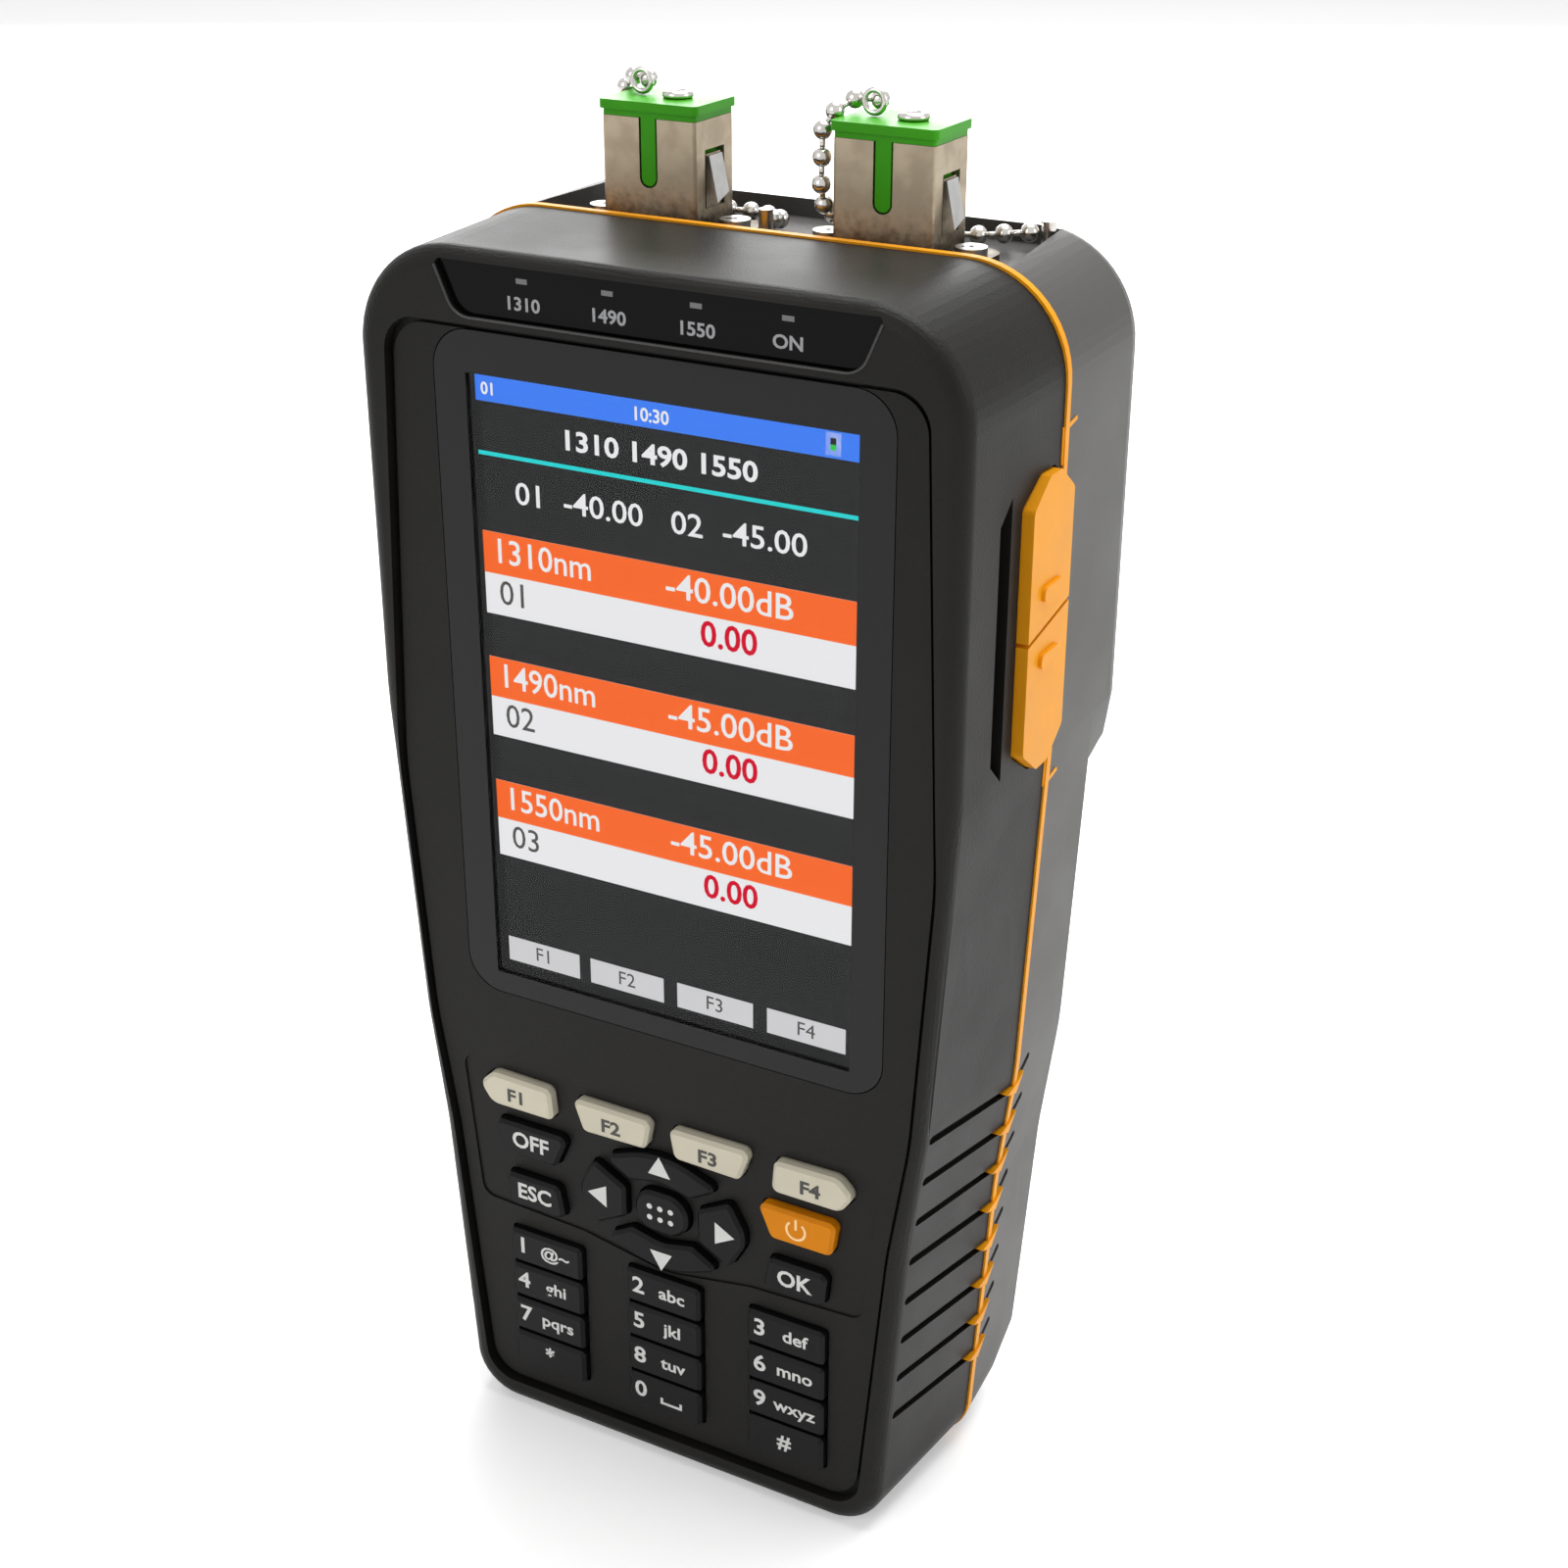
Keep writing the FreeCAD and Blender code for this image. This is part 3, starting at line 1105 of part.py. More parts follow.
def link(start, end, radius):
    """Six-sided wire from one bead's middle to the next."""
    along = (end - start).normalize()
    helper = Vector(0, 0, 1) if abs(along.z) < 0.9 else Vector(1, 0, 0)
    across = along.cross(helper).normalize()
    up = along.cross(across)
    ring = []
    for step in range(LINK_SIDES):
        turn = math.tau * step / LINK_SIDES
        ring.append(start + across * (radius * math.cos(turn)) + up * (radius * math.sin(turn)))
    return Part.Face(Part.makePolygon(ring + ring[:1])).extrude(end - start)


def chain(name, knots):
    """Beads an even pitch apart along a path of straight runs, from end to end."""
    total = sum((after - before).Length for before, after in zip(knots, knots[1:]))
    pitch = total / round(total / float(z["bead_pitch"]))
    places, left, here = [knots[0]], pitch, knots[0]
    for knot in knots[1:]:
        while (knot - here).Length >= left - float(touch) / 10:
            here = here + (knot - here).normalize() * left
            places.append(here)
            left = pitch
        left -= (knot - here).Length
        here = knot
    pieces = [bead(at, float(z["bead_radius"])) for at in places]
    pieces += [link(places[i], places[i + 1], float(z["link_radius"]))
               for i in range(len(places) - 1)]
    result = doc.addObject("Part::Feature", name)
    result.Shape = pieces[0].multiFuse(pieces[1:])
    return result


# ---------------------------------------------------------------- keys
def key_body(name, shape, x, level, flip):
    body = new_body(name)
    top = z["front_depth"] - z["panel_sink"] + z["key_proud"]
    flange = z["front_depth"] - z["front_wall"] - z["fit_gap"]
    cap = pad(body, f"{name}_top", "XZ_Plane", flange, [placed(shape, x, level, flip)],
              top - flange)
    if name in ("key_left", "key_right"):
        wings = grown(shape, z["key_flange"], 0.0, 1.0)
    else:
        wings = grown(shape, z["key_flange"], 1.0, 0.0)
    round_edges(body, f"{name}_edge", cap, z["key_edge"], flat_at("Y", -top),
                "PartDesign::Chamfer")
    pad(body, f"{name}_flange", "XZ_Plane", flange, [placed(wings, x, level, flip)],
        z["key_flange_thick"], reverse=True)
    return body


# ---------------------------------------------------------------- all pieces
shells_inside = front_rim + z["front_wall"]
pieces = [front_shell, back_shell, seam_band_body(), cover_flap("port_cover_upper", True),
          cover_flap("port_cover_lower", False)]
pieces.append(plate("led_window", "XZ_Plane", z["front_depth"] - z["led_window_sink"],
                    [led_window_outline(z["lens_gap"])], z["led_window_thick"] - touch))
pieces.append(indicator_body())
pieces.append(plate("screen_lens", "XZ_Plane", z["front_depth"] - z["panel_sink"],
                    [lens_outline(z["lens_gap"])], z["lens_thick"] - touch))
half_lcd = z["lcd_wide"] / 2
lcd = plate("lcd_module", "XZ_Plane", -(shells_inside + touch),
            [rectangle(z["display_offset"] - half_lcd, z["display_offset"] + half_lcd,
                       z["lcd_bottom"], z["lcd_top"])], z["display_thick"] - touch * 2.0)
pad(lcd, "lcd_glass", "XZ_Plane", -(shells_inside + touch),
    [view_outline(z["view_rim"] - z["fit_gap"])],
    z["front_wall"] - z["panel_sink"] - z["lens_thick"] - touch)
pieces.append(lcd)
pieces.append(keypad_mat_body())
pieces.append(plate("main_board", "XZ_Plane", -board_front,
                    [stepped([(z["mat_low_half"], z["mat_bottom"], z["mat_low_top"]),
                              (z["mat_middle_half"], z["mat_low_top"], z["mat_middle_top"]),
                              (z["mat_high_half"], z["mat_middle_top"], z["neck_level"]),
                              (z["board_half"], z["neck_level"], z["board_wide_top"]),
                              (z["mat_high_half"], z["board_wide_top"], z["board_narrow_low"]),
                              (z["board_top_half"], z["board_narrow_low"], z["board_top"])])],
                    z["board_thick"]))
pieces.append(plate("socket_board", "YZ_Plane", z["riser_level"],
                    [rectangle(board_back + touch, board_back + z["riser_high"],
                               z["riser_bottom"], z["riser_top"])], z["board_thick"],
                    reverse=False))
pieces += [usb_body(), jack_body()]
battery_front = door_floor - z["door_thick"] / 2 - touch * 2.0 - z["battery_thick"]
pieces.append(plate("battery_pack", "XZ_Plane", -battery_front,
                    [rectangle(-z["battery_wide"] / 2, z["battery_wide"] / 2,
                               z["battery_bottom"], z["battery_bottom"] + z["battery_high"],
                               z["battery_radius"])], z["battery_thick"]))
pieces.append(battery_door_body())
pieces.append(screws("battery_door_screws", "XZ_Plane",
                     -(door_floor + z["door_screw_high"] + touch), DOOR_SCREWS,
                     z["door_screw_head"], z["door_screw_high"] - touch * 4.0,
                     z["door_screw_radius"] - touch, z["door_thick"], False))
pieces.append(screws("case_screws", "XZ_Plane", -(half_band + z["boss_radius"] + touch),
                     SCREW_PLACES, z["screw_head_radius"], z["screw_head_high"],
                     z["screw_shank_radius"] - touch, z["screw_length"], False))
pieces.append(screws("adapter_screws", "XY_Plane",
                     z["recess_floor"] + z["port_flange_thick"] + touch * 2.0, ADAPTER_SCREWS,
                     z["adapter_screw_head"], z["adapter_screw_high"],
                     z["adapter_screw_radius"], z["adapter_screw_length"], True))
for side, middle in ports():
    pieces += [adapter_body(side, middle), receiver_body(side, middle), cap_body(side, middle),
               eyelet_body(side, middle), ring_body(side, middle)]
pieces.append(screws("chain_anchors", "XY_Plane", z["recess_floor"] + touch, ANCHORS,
                     z["anchor_stud"], z["anchor_high"], z["anchor_stud"],
                     z["recess_floor_thick"] / 2, True))


def chain_knots(port, points):
    """Path of a chain from its cap's ring; each point is given from the port's middle."""
    return [Vector(float(port) + x, float(port_middle) + y, float(z["recess_floor"]) + level)
            for x, y, level in points]


(_, left_port), (_, right_port) = ports()
pieces.append(chain("chain_right", chain_knots(right_port, RIGHT_PATH)))
pieces.append(chain("chain_left", chain_knots(left_port, LEFT_PATH)))
pieces += [key_body(*key) for key in KEYS]

doc.recompute()
for item in doc.Objects:
    state = [word for word in item.State if word in ("Invalid", "Error")]
    if state:
        raise RuntimeError(f"{item.Name}: {state}")
for piece in pieces:
    if piece.Shape.isNull() or not piece.Shape.isValid() or not piece.Shape.Solids:
        raise RuntimeError(f"{piece.Label} has no valid solid")
os.makedirs("parts", exist_ok=True)
for piece in pieces:
    piece.Shape.exportStep(f"parts/{piece.Label}.step")
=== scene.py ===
# %% [markdown]
# # A handheld optical power meter
# The meter is a two-part plastic housing with a rubber band round its seam, a colour
# display, a keypad with light legends, and two fibre ports closed by green dust caps
# that hang on bead chains.  The solids come from the frame.  This file gives them
# their finishes and adds what is printed, strung or fixed on them.  Sizes are in
# millimetres unless a name or a comment says otherwise.

# %% Load the frame
import math

import bmesh
import bpy
from mathutils import Matrix, Vector


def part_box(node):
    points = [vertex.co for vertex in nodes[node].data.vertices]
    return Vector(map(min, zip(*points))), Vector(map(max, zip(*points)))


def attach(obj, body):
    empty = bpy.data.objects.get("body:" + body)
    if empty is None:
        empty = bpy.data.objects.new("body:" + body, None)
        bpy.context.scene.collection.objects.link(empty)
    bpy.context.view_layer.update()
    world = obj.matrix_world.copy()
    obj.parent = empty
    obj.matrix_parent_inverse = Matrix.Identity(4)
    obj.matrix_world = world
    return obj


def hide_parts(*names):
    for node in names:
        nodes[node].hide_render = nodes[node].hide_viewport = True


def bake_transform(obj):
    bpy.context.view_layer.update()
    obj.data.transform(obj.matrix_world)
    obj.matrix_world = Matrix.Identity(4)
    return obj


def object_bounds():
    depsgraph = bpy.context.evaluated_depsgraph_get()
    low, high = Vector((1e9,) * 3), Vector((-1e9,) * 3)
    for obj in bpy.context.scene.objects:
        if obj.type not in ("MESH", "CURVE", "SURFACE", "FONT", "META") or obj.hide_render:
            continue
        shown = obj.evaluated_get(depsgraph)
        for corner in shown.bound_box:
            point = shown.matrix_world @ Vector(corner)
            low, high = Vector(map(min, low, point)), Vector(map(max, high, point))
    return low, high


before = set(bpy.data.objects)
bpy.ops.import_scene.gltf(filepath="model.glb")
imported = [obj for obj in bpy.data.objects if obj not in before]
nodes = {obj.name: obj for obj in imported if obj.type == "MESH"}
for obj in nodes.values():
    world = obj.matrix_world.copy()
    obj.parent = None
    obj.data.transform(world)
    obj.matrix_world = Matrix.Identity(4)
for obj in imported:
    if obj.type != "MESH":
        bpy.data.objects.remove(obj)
cad_low, cad_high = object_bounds()
MM = 0.001
print("pieces in the frame:", len(nodes))

# %% [markdown]
# ## Nodes, and sums of their sockets
# A finish is a tree of nodes, each with settings and sockets.  They could be made and
# wired a line at a time, but a finish is easier to follow when one method takes all that
# a node needs.  Sums take many small nodes, so a second class lets a socket be added,
# multiplied and compared like a number.


# %% The node tree
class Shading:
    """A node tree under construction."""

    def __init__(self, tree):
        self.tree = tree

    def feed(self, socket, value):
        """Gives a socket a value, or a link where the value is a field or a socket."""
        if isinstance(value, Field):
            value = value.socket
        if isinstance(value, bpy.types.NodeSocket):
            self.tree.links.new(value, socket)
        else:
            socket.default_value = value

    def node(self, kind, settings=None, sockets=None):
        """A node with its settings, which come first, and what its sockets take."""
        made = self.tree.nodes.new("ShaderNode" + kind)
        for name, value in (settings or {}).items():
            setattr(made, name, value)
        for name, value in (sockets or {}).items():
            self.feed(made.inputs[name], value)
        return made


# %% The socket class
class Field:
    """A value that differs over the surface, with the shading that it belongs to."""

    def __init__(self, shading, socket):
        self.shading, self.socket = shading, socket

    def _math(self, operation, *values):
        node = self.shading.node("Math", {"operation": operation}, dict(enumerate(values)))
        return Field(self.shading, node.outputs[0])

    def __add__(self, other):
        return self._math("ADD", self, other)

    def __sub__(self, other):
        return self._math("SUBTRACT", self, other)

    def __rsub__(self, other):
        return self._math("SUBTRACT", other, self)

    def __mul__(self, other):
        return self._math("MULTIPLY", self, other)

    def __truediv__(self, other):
        return self._math("DIVIDE", self, other)

    def __rtruediv__(self, other):
        return self._math("DIVIDE", other, self)

    def __lt__(self, other):
        return self._math("LESS_THAN", self, other)

    def __gt__(self, other):
        return self._math("GREATER_THAN", self, other)

    def __abs__(self):
        return self._math("ABSOLUTE", self)

    __radd__, __rmul__ = __add__, __mul__

    def clamped(self, low, high):
        return self._math("MINIMUM", self._math("MAXIMUM", self, low), high)

    def ramp(self, low, high, start=0.0, end=1.0):
        """Goes smoothly from start to end while the field goes from low to high."""
        node = self.shading.node("MapRange", {"interpolation_type": "SMOOTHSTEP"},
                                 {"Value": self, "From Min": low, "From Max": high,
                                  "To Min": start, "To Max": end})
        return Field(self.shading, node.outputs["Result"])


# %% [markdown]
# ## A finish from its parts
# A material could be opened and filled anew for each finish.  `Finish` opens it once,
# with one principled shader, and offers what the finishes share: the place on the
# object, noises, a bump and a blend of two colours.


# %% The finish class
class Finish(Shading):
    """A material under construction."""

    def __init__(self, name, colour, roughness, metallic=0.0):
        self.material = bpy.data.materials.new(name)
        self.material.use_nodes = True
        super().__init__(self.material.node_tree)
        self.shader = self.tree.nodes["Principled BSDF"]
        self.output = self.tree.nodes["Material Output"]
        self.place = self.node("TexCoord").outputs["Object"]
        self.set("Base Color", (*colour, 1.0))
        self.set("Roughness", roughness)
        self.set("Metallic", metallic)
        print("finish:", name)

    def set(self, name, value):
        self.feed(self.shader.inputs[name], value)

    def axes(self):
        """The place in millimetres, as three fields."""
        node = self.node("SeparateXYZ", {}, {0: self.place})
        return [Field(self, out) / MM for out in node.outputs]

    def noise(self, grain, detail=2.0, stretch=(1, 1, 1)):
        """Noise between 0 and 1 with grains of about the given size."""
        mapping = self.node("Mapping", {}, {"Vector": self.place, "Scale": stretch})
        node = self.node("TexNoise", {}, {"Vector": mapping.outputs[0], "Detail": detail,
                                          "Scale": 1 / (grain * MM)})
        return Field(self, node.outputs["Fac"])

    def bump(self, height, depth):
        node = self.node("Bump", {}, {"Height": height, "Distance": depth * MM})
        self.set("Normal", node.outputs[0])

    def blend(self, share, first, second):
        """Colour that goes from first to second as the share goes from 0 to 1."""
        node = self.node("Mix", {"data_type": "RGBA"},
                         {"Factor": share, 6: (*first, 1.0), 7: (*second, 1.0)})
        self.set("Base Color", node.outputs[2])


# %% [markdown]
# ## Moulded plastic and rubber
# The housing has a fine spark-eroded texture: it is matt, and its tiny pits break the
# light up.  Rubber is smoother but softer, with a slight bloom.  Both are one noise for
# the pits and one broad noise for the small unevenness of a used surface.  A picture
# laid on the shell could show the same, but it would smear round the corners.

# %% Plastics and rubbers
WEAR_GRAIN, WEAR_DETAIL, WEAR_ROUGHNESS = 14.0, 3.0, 0.05
PIT_GRAIN, PIT_DETAIL = 0.25, 1.0


def moulded(name, colour, roughness, depth=0.03, spread=0.12, shine=0.5):
    """Moulded stuff: depth is that of its pits, spread how far its colour wanders."""
    finish = Finish(name, colour, roughness)
    finish.set("Specular IOR Level", shine)
    wear = finish.noise(WEAR_GRAIN, WEAR_DETAIL)
    lighter = [min(1.0, part * (1 + spread)) for part in colour]
    darker = [part * (1 - spread) for part in colour]
    finish.blend(wear.ramp(0.3, 0.7), darker, lighter)
    finish.set("Roughness", wear.ramp(0.2, 0.8, roughness - WEAR_ROUGHNESS,
                                      roughness + WEAR_ROUGHNESS))
    if depth:
        finish.bump(finish.noise(PIT_GRAIN, PIT_DETAIL), depth)
    return finish


SHELL = moulded("shell_dark_plastic", (0.0105, 0.0098, 0.0090), 0.44, shine=0.12)
BACK = moulded("shell_back_plastic", (0.062, 0.060, 0.057), 0.48, spread=0.05, shine=0.25)
BAND = moulded("band_orange_rubber", (0.76, 0.300, 0.006), 0.42, depth=0.012, spread=0.06,
               shine=0.12)
KEY_BLACK = moulded("key_black_rubber", (0.0050, 0.0050, 0.0053), 0.38, depth=0.008,
                    shine=0.13)
KEY_CREAM = moulded("key_cream_rubber", (0.58, 0.54, 0.42), 0.45, depth=0.01, spread=0.04,
                    shine=0.3)
KEY_POWER = moulded("key_orange_rubber", (0.66, 0.215, 0.002), 0.42, depth=0.01, spread=0.05,
                    shine=0.12)
CAP_GREEN = moulded("cap_green_plastic", (0.045, 0.34, 0.006), 0.34, depth=0.006, spread=0.06,
                    shine=0.15)
BOARD = moulded("board_green_laminate", (0.02, 0.16, 0.07), 0.4)
BATTERY = moulded("battery_wrap_film", (0.03, 0.05, 0.12), 0.3)
GUIDE = moulded("light_guide_plastic", (0.42, 0.42, 0.40), 0.2, depth=0)

# %% [markdown]
# ## Bright metal
# The adapters are folded from nickel-plated sheet, so they show cloudy patches, a warm
# tint and long drawing marks.  The beads, rings and screws are plated too but polished.
# One function makes them all, so that each metal is a line of a few numbers.

# %% Metals
CLOUD_GRAIN, CLOUD_DETAIL, CLOUD_ROUGHNESS = 2.6, 4.0, 0.12
MARK_GRAIN, MARK_DETAIL, MARK_STRETCH = 0.5, 2.0, (1, 1, 0.12)
# The sheet is darker towards its foot: it reaches its own colour between these two levels,
# with specks that wander this far, and below them keeps this share of its colour.
DARKENING_LOW, DARKENING_HIGH, DARKENING_SPREAD, DARKENING_SHARE = 165.0, 171.5, 6.0, 0.22
SPECK_GRAIN, SPECK_DETAIL = 0.9, 3.0


def plated(name, colour, roughness, cloud, marks=0.0, dark_foot=False):
    """Plated metal; the sheet can turn darker in specks towards its foot."""
    finish = Finish(name, colour, roughness, metallic=1.0)
    clouds = finish.noise(CLOUD_GRAIN, CLOUD_DETAIL)
    lighter = [min(1.0, part * (1 + cloud)) for part in colour]
    if dark_foot:
        specks = finish.noise(SPECK_GRAIN, SPECK_DETAIL)
        level = finish.axes()[2] + specks * DARKENING_SPREAD
        share = level.ramp(DARKENING_LOW, DARKENING_HIGH) * clouds.ramp(0.35, 0.65, 0.82, 1.0)
        darker = [part * DARKENING_SHARE for part in colour]
    else:
        share = clouds.ramp(0.35, 0.65)
        darker = [part * (1 - 2 * cloud) for part in colour]
    finish.blend(share, darker, lighter)
    finish.set("Roughness", clouds.ramp(0.3, 0.7, roughness + CLOUD_ROUGHNESS, roughness))
    if marks:
        finish.bump(finish.noise(MARK_GRAIN, MARK_DETAIL, MARK_STRETCH), marks)
    return finish


NICKEL = plated("adapter_nickel_plate", (0.36, 0.298, 0.215), 0.36, 0.06, marks=0.004,
                dark_foot=True)
CHROME = plated("chain_bright_plate", (0.58, 0.56, 0.53), 0.14, 0.05)
SPRING = plated("latch_spring_plate", (0.50, 0.50, 0.49), 0.30, 0.05)
STEEL = plated("screw_bright_steel", (0.50, 0.49, 0.47), 0.26, 0.06)

# %% [markdown]
# ## Window and lens
# The strip above the display is gloss black.  The display lens is clear only over the
# picture: its margin is painted dark from behind.  The clear part is a rectangle worked
# out from the place on the lens, and a little gloss lies over both parts.

# %% Window gloss and lens
WINDOW = Finish("window_gloss_black", (0.0025, 0.0025, 0.003), 0.10)
WINDOW.set("Specular IOR Level", 0.08)
PICTURE_GLASS = Finish("lens_painted_margin", (0.0135, 0.0135, 0.0138), 0.24)
PICTURE_GLASS.set("Specular IOR Level", 0.16)
lens_low, lens_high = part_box("screen_lens")
LENS_MIDDLE = (lens_low + lens_high) / 2 / MM
VIEW_WIDE, VIEW_LOW, VIEW_HIGH = 51.5, 70.4, 150.4
# The lens's rear face is clear a little further out, so that no dark rim shows at a
# slant.
BACK_MARGIN = 1.6
FILM_ROUGHNESS, FILM_SHARE = 0.1, 0.006


def clear_view(finish):
    """Lets the picture show through the middle of the lens."""
    x, deep, up = finish.axes()
    margin = (deep > LENS_MIDDLE.y) * BACK_MARGIN
    view_middle, view_high = (VIEW_LOW + VIEW_HIGH) / 2, VIEW_HIGH - VIEW_LOW
    inside_x = abs(x - LENS_MIDDLE.x) - margin < VIEW_WIDE / 2
    inside_z = abs(up - view_middle) - margin < view_high / 2
    clear = finish.node("BsdfTransparent")
    gloss = finish.node("BsdfGlossy", {}, {"Roughness": FILM_ROUGHNESS})
    film = finish.node("MixShader", {}, {0: FILM_SHARE, 1: clear.outputs[0],
                                         2: gloss.outputs[0]})
    both = finish.node("MixShader", {}, {0: inside_x * inside_z,
                                         1: finish.shader.outputs[0], 2: film.outputs[0]})
    finish.feed(finish.output.inputs["Surface"], both.outputs[0])


clear_view(PICTURE_GLASS)

# %% [markdown]
# ## Print and picture
# Legends are flat ink.  The picture on the display gives its own light, so its colours
# are emission and hardly change with the lamps.

# %% Inks and lights
INK_ROUGHNESS, INK_GRAIN, INK_SPREAD = 0.5, 0.6, 0.08
GLOW_ROUGHNESS, GLOW_PAINT, GLOW_STRENGTH = 0.4, 0.02, 0.9


def matt(name, colour, roughness, grain, spread):
    """Plain matt stuff whose roughness wanders a little."""
    finish = Finish(name, colour, roughness)
    finish.set("Roughness", finish.noise(grain).ramp(0.3, 0.7, roughness - spread,
                                                     roughness + spread))
    return finish


def ink(name, colour):
    return matt(name, colour, INK_ROUGHNESS, INK_GRAIN, INK_SPREAD)


def glow(name, colour):
    """Backlit colour, given the way a screen names it, from 11 to 255."""
    linear = [((part / 255 + 0.055) / 1.055) ** 2.4 for part in colour]
    finish = Finish(name, [GLOW_PAINT * part for part in linear], GLOW_ROUGHNESS)
    finish.set("Emission Color", (*linear, 1.0))
    finish.set("Emission Strength", GLOW_STRENGTH)
    finish.set("Specular IOR Level", 0.0)
    return finish


INK_LIGHT = ink("legend_light_ink", (0.62, 0.62, 0.60))
INK_DIM = ink("window_grey_ink", (0.30, 0.30, 0.31))
INK_MARK = ink("window_mark_ink", (0.13, 0.13, 0.13))
INK_DARK = ink("legend_dark_ink", (0.035, 0.032, 0.028))
INK_WARM = ink("power_pale_ink", (0.95, 0.62, 0.28))
SCREEN_DARK = glow("picture_dark", (43, 44, 44))
SCREEN_BLUE = glow("picture_blue", (66, 130, 250))
SCREEN_CYAN = glow("picture_cyan", (40, 215, 215))
SCREEN_ORANGE = glow("picture_orange", (255, 108, 42))
SCREEN_WHITE = glow("picture_white", (240, 240, 242))
SCREEN_RED = glow("picture_red", (215, 20, 50))
SCREEN_GREY = glow("picture_grey", (212, 212, 214))
SCREEN_GREEN = glow("picture_green", (60, 200, 80))

# %% [markdown]
# ## Finishes on the frame's own pieces
# The frame's pieces come without finishes.  A list by name is the plainest way to dress
# them, and a piece that it doesn't name is a black key.

# %% Dress the frame
DRESS = {
    "front_shell": SHELL, "back_shell": BACK, "battery_door": BACK, "seam_band": BAND,
    "port_cover_upper": BAND, "port_cover_lower": BAND, "led_window": WINDOW,
    "indicator_leds": GUIDE, "screen_lens": PICTURE_GLASS, "lcd_module": WINDOW,
    "keypad_mat": KEY_BLACK, "main_board": BOARD, "socket_board": BOARD,
    "usb_socket": NICKEL, "charge_jack": WINDOW, "battery_pack": BATTERY,
    "battery_door_screws": STEEL, "case_screws": STEEL, "adapter_screws": STEEL,
    "chain_anchors": CHROME, "key_power": KEY_POWER,
}
for side in ("left", "right"):
    DRESS.update({"adapter_" + side: NICKEL, "receiver_" + side: STEEL,
                  "cap_" + side: CAP_GREEN, "cap_eyelet_" + side: CHROME,
                  "cap_ring_" + side: CHROME, "chain_" + side: CHROME})
for number in range(1, 5):
    DRESS[f"key_f{number}"] = KEY_CREAM
for name, node in nodes.items():
    node.data.materials.clear()
    node.data.materials.append(DRESS.get(name, KEY_BLACK).material)
    node.data.polygons.foreach_set("use_smooth", [False] * len(node.data.polygons))
print("dressed:", len(nodes), "pieces,", len(set(nodes) - set(DRESS)), "of them black keys")

# %% [markdown]
# ## Helpers for added pieces
# An added piece is a bmesh turned into an object, given its finish and the body that it
# rides on.  That is the same for every piece, so it is written once.


# %% Make a piece
def placed(name, data, finish, body):
    """An object of the given mesh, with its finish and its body."""
    data.name = name
    data.materials.clear()
    data.materials.append(finish.material)
    made = bpy.data.objects.new(name, data)
    bpy.context.scene.collection.objects.link(made)
    if body:
        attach(made, body)
    print(f"{name}: {len(data.polygons)} faces")
    return made


def piece(name, mesh, finish, body="meter", smooth=False):
    data = bpy.data.meshes.new(name)
    mesh.to_mesh(data)
    mesh.free()
    data.polygons.foreach_set("use_smooth", [smooth] * len(data.polygons))
    return placed(name, data, finish, body)


# %% [markdown]
# ## The picture on the display
# The display shows bars of colour behind a clear lens.  The bars could be painted on one
# sheet, but thin slabs keep their edges sharp however near one looks.  They lie in
# layers on the display's face, so that no two share a plane.


# %% Blocks and slabs
def add_block(mesh, size, turn=None, shift=(0, 0, 0)):
    """A block about the origin, turned by a matrix and then shifted; its corners."""
    made = bmesh.ops.create_cube(mesh, size=1.0)["verts"]
    bmesh.ops.scale(mesh, verts=made, vec=Vector(size) * MM)
    if turn:
        bmesh.ops.rotate(mesh, verts=made, cent=(0, 0, 0), matrix=turn)
    bmesh.ops.translate(mesh, verts=made, vec=Vector(shift) * MM)
    return made


def add_slab(mesh, x_low, x_high, z_low, z_high, front, thick=0.02):
    """A thin upright rectangle; front is its y."""
    add_block(mesh, (x_high - x_low, thick, z_high - z_low),
              shift=((x_low + x_high) / 2, front + thick / 2, (z_low + z_high) / 2))


# %% Screen fields
PICTURE_SHIFT, LAYER = 0.3, 0.03
SCREEN_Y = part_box("lcd_module")[0].y / MM
LEFT = LENS_MIDDLE.x + PICTURE_SHIFT - VIEW_WIDE / 2
RIGHT = LEFT + VIEW_WIDE
print("picture spans", LEFT, "to", RIGHT, "mm")


def field(name, finish, boxes, layer):
    """Rectangles of one colour; a higher layer lies in front of a lower one."""
    mesh = bmesh.new()
    for x_low, x_high, z_low, z_high in boxes:
        add_slab(mesh, x_low, x_high, z_low, z_high, SCREEN_Y - LAYER * layer)
    piece(name, mesh, finish)


# The dark ground reaches a little past the clear part of the lens.
GROUND_LEFT, GROUND_RIGHT, GROUND_MORE = 0.7, 0.15, 0.4
HEADER_LOW, HEADER_HIGH, RULE_LOW, RULE_HIGH = 146.8, 149.9, 140.2, 140.7
READING_TOPS, BAR_HIGH, ROW_HIGH = (130.7, 114.4, 97.6), 5.3, 10.6
SOFT_LEFTS, SOFT_WIDE, SOFT_LOW, SOFT_HIGH = (-23.8, -11.2, 1.7, 14.6), 10.9, 71.7, 75.2
field("picture_ground", SCREEN_DARK,
      [(LEFT - GROUND_LEFT, RIGHT + GROUND_RIGHT, VIEW_LOW - GROUND_MORE,
        VIEW_HIGH + GROUND_MORE)], 1)
field("picture_header", SCREEN_BLUE, [(LEFT, RIGHT, HEADER_LOW, HEADER_HIGH)], 2)
field("picture_rule", SCREEN_CYAN, [(LEFT, RIGHT, RULE_LOW, RULE_HIGH)], 2)
field("picture_white_rows", SCREEN_WHITE,
      [(LEFT, RIGHT, top - ROW_HIGH, top) for top in READING_TOPS], 2)
field("picture_orange_rows", SCREEN_ORANGE,
      [(LEFT, RIGHT, top - BAR_HIGH, top) for top in READING_TOPS], 3)
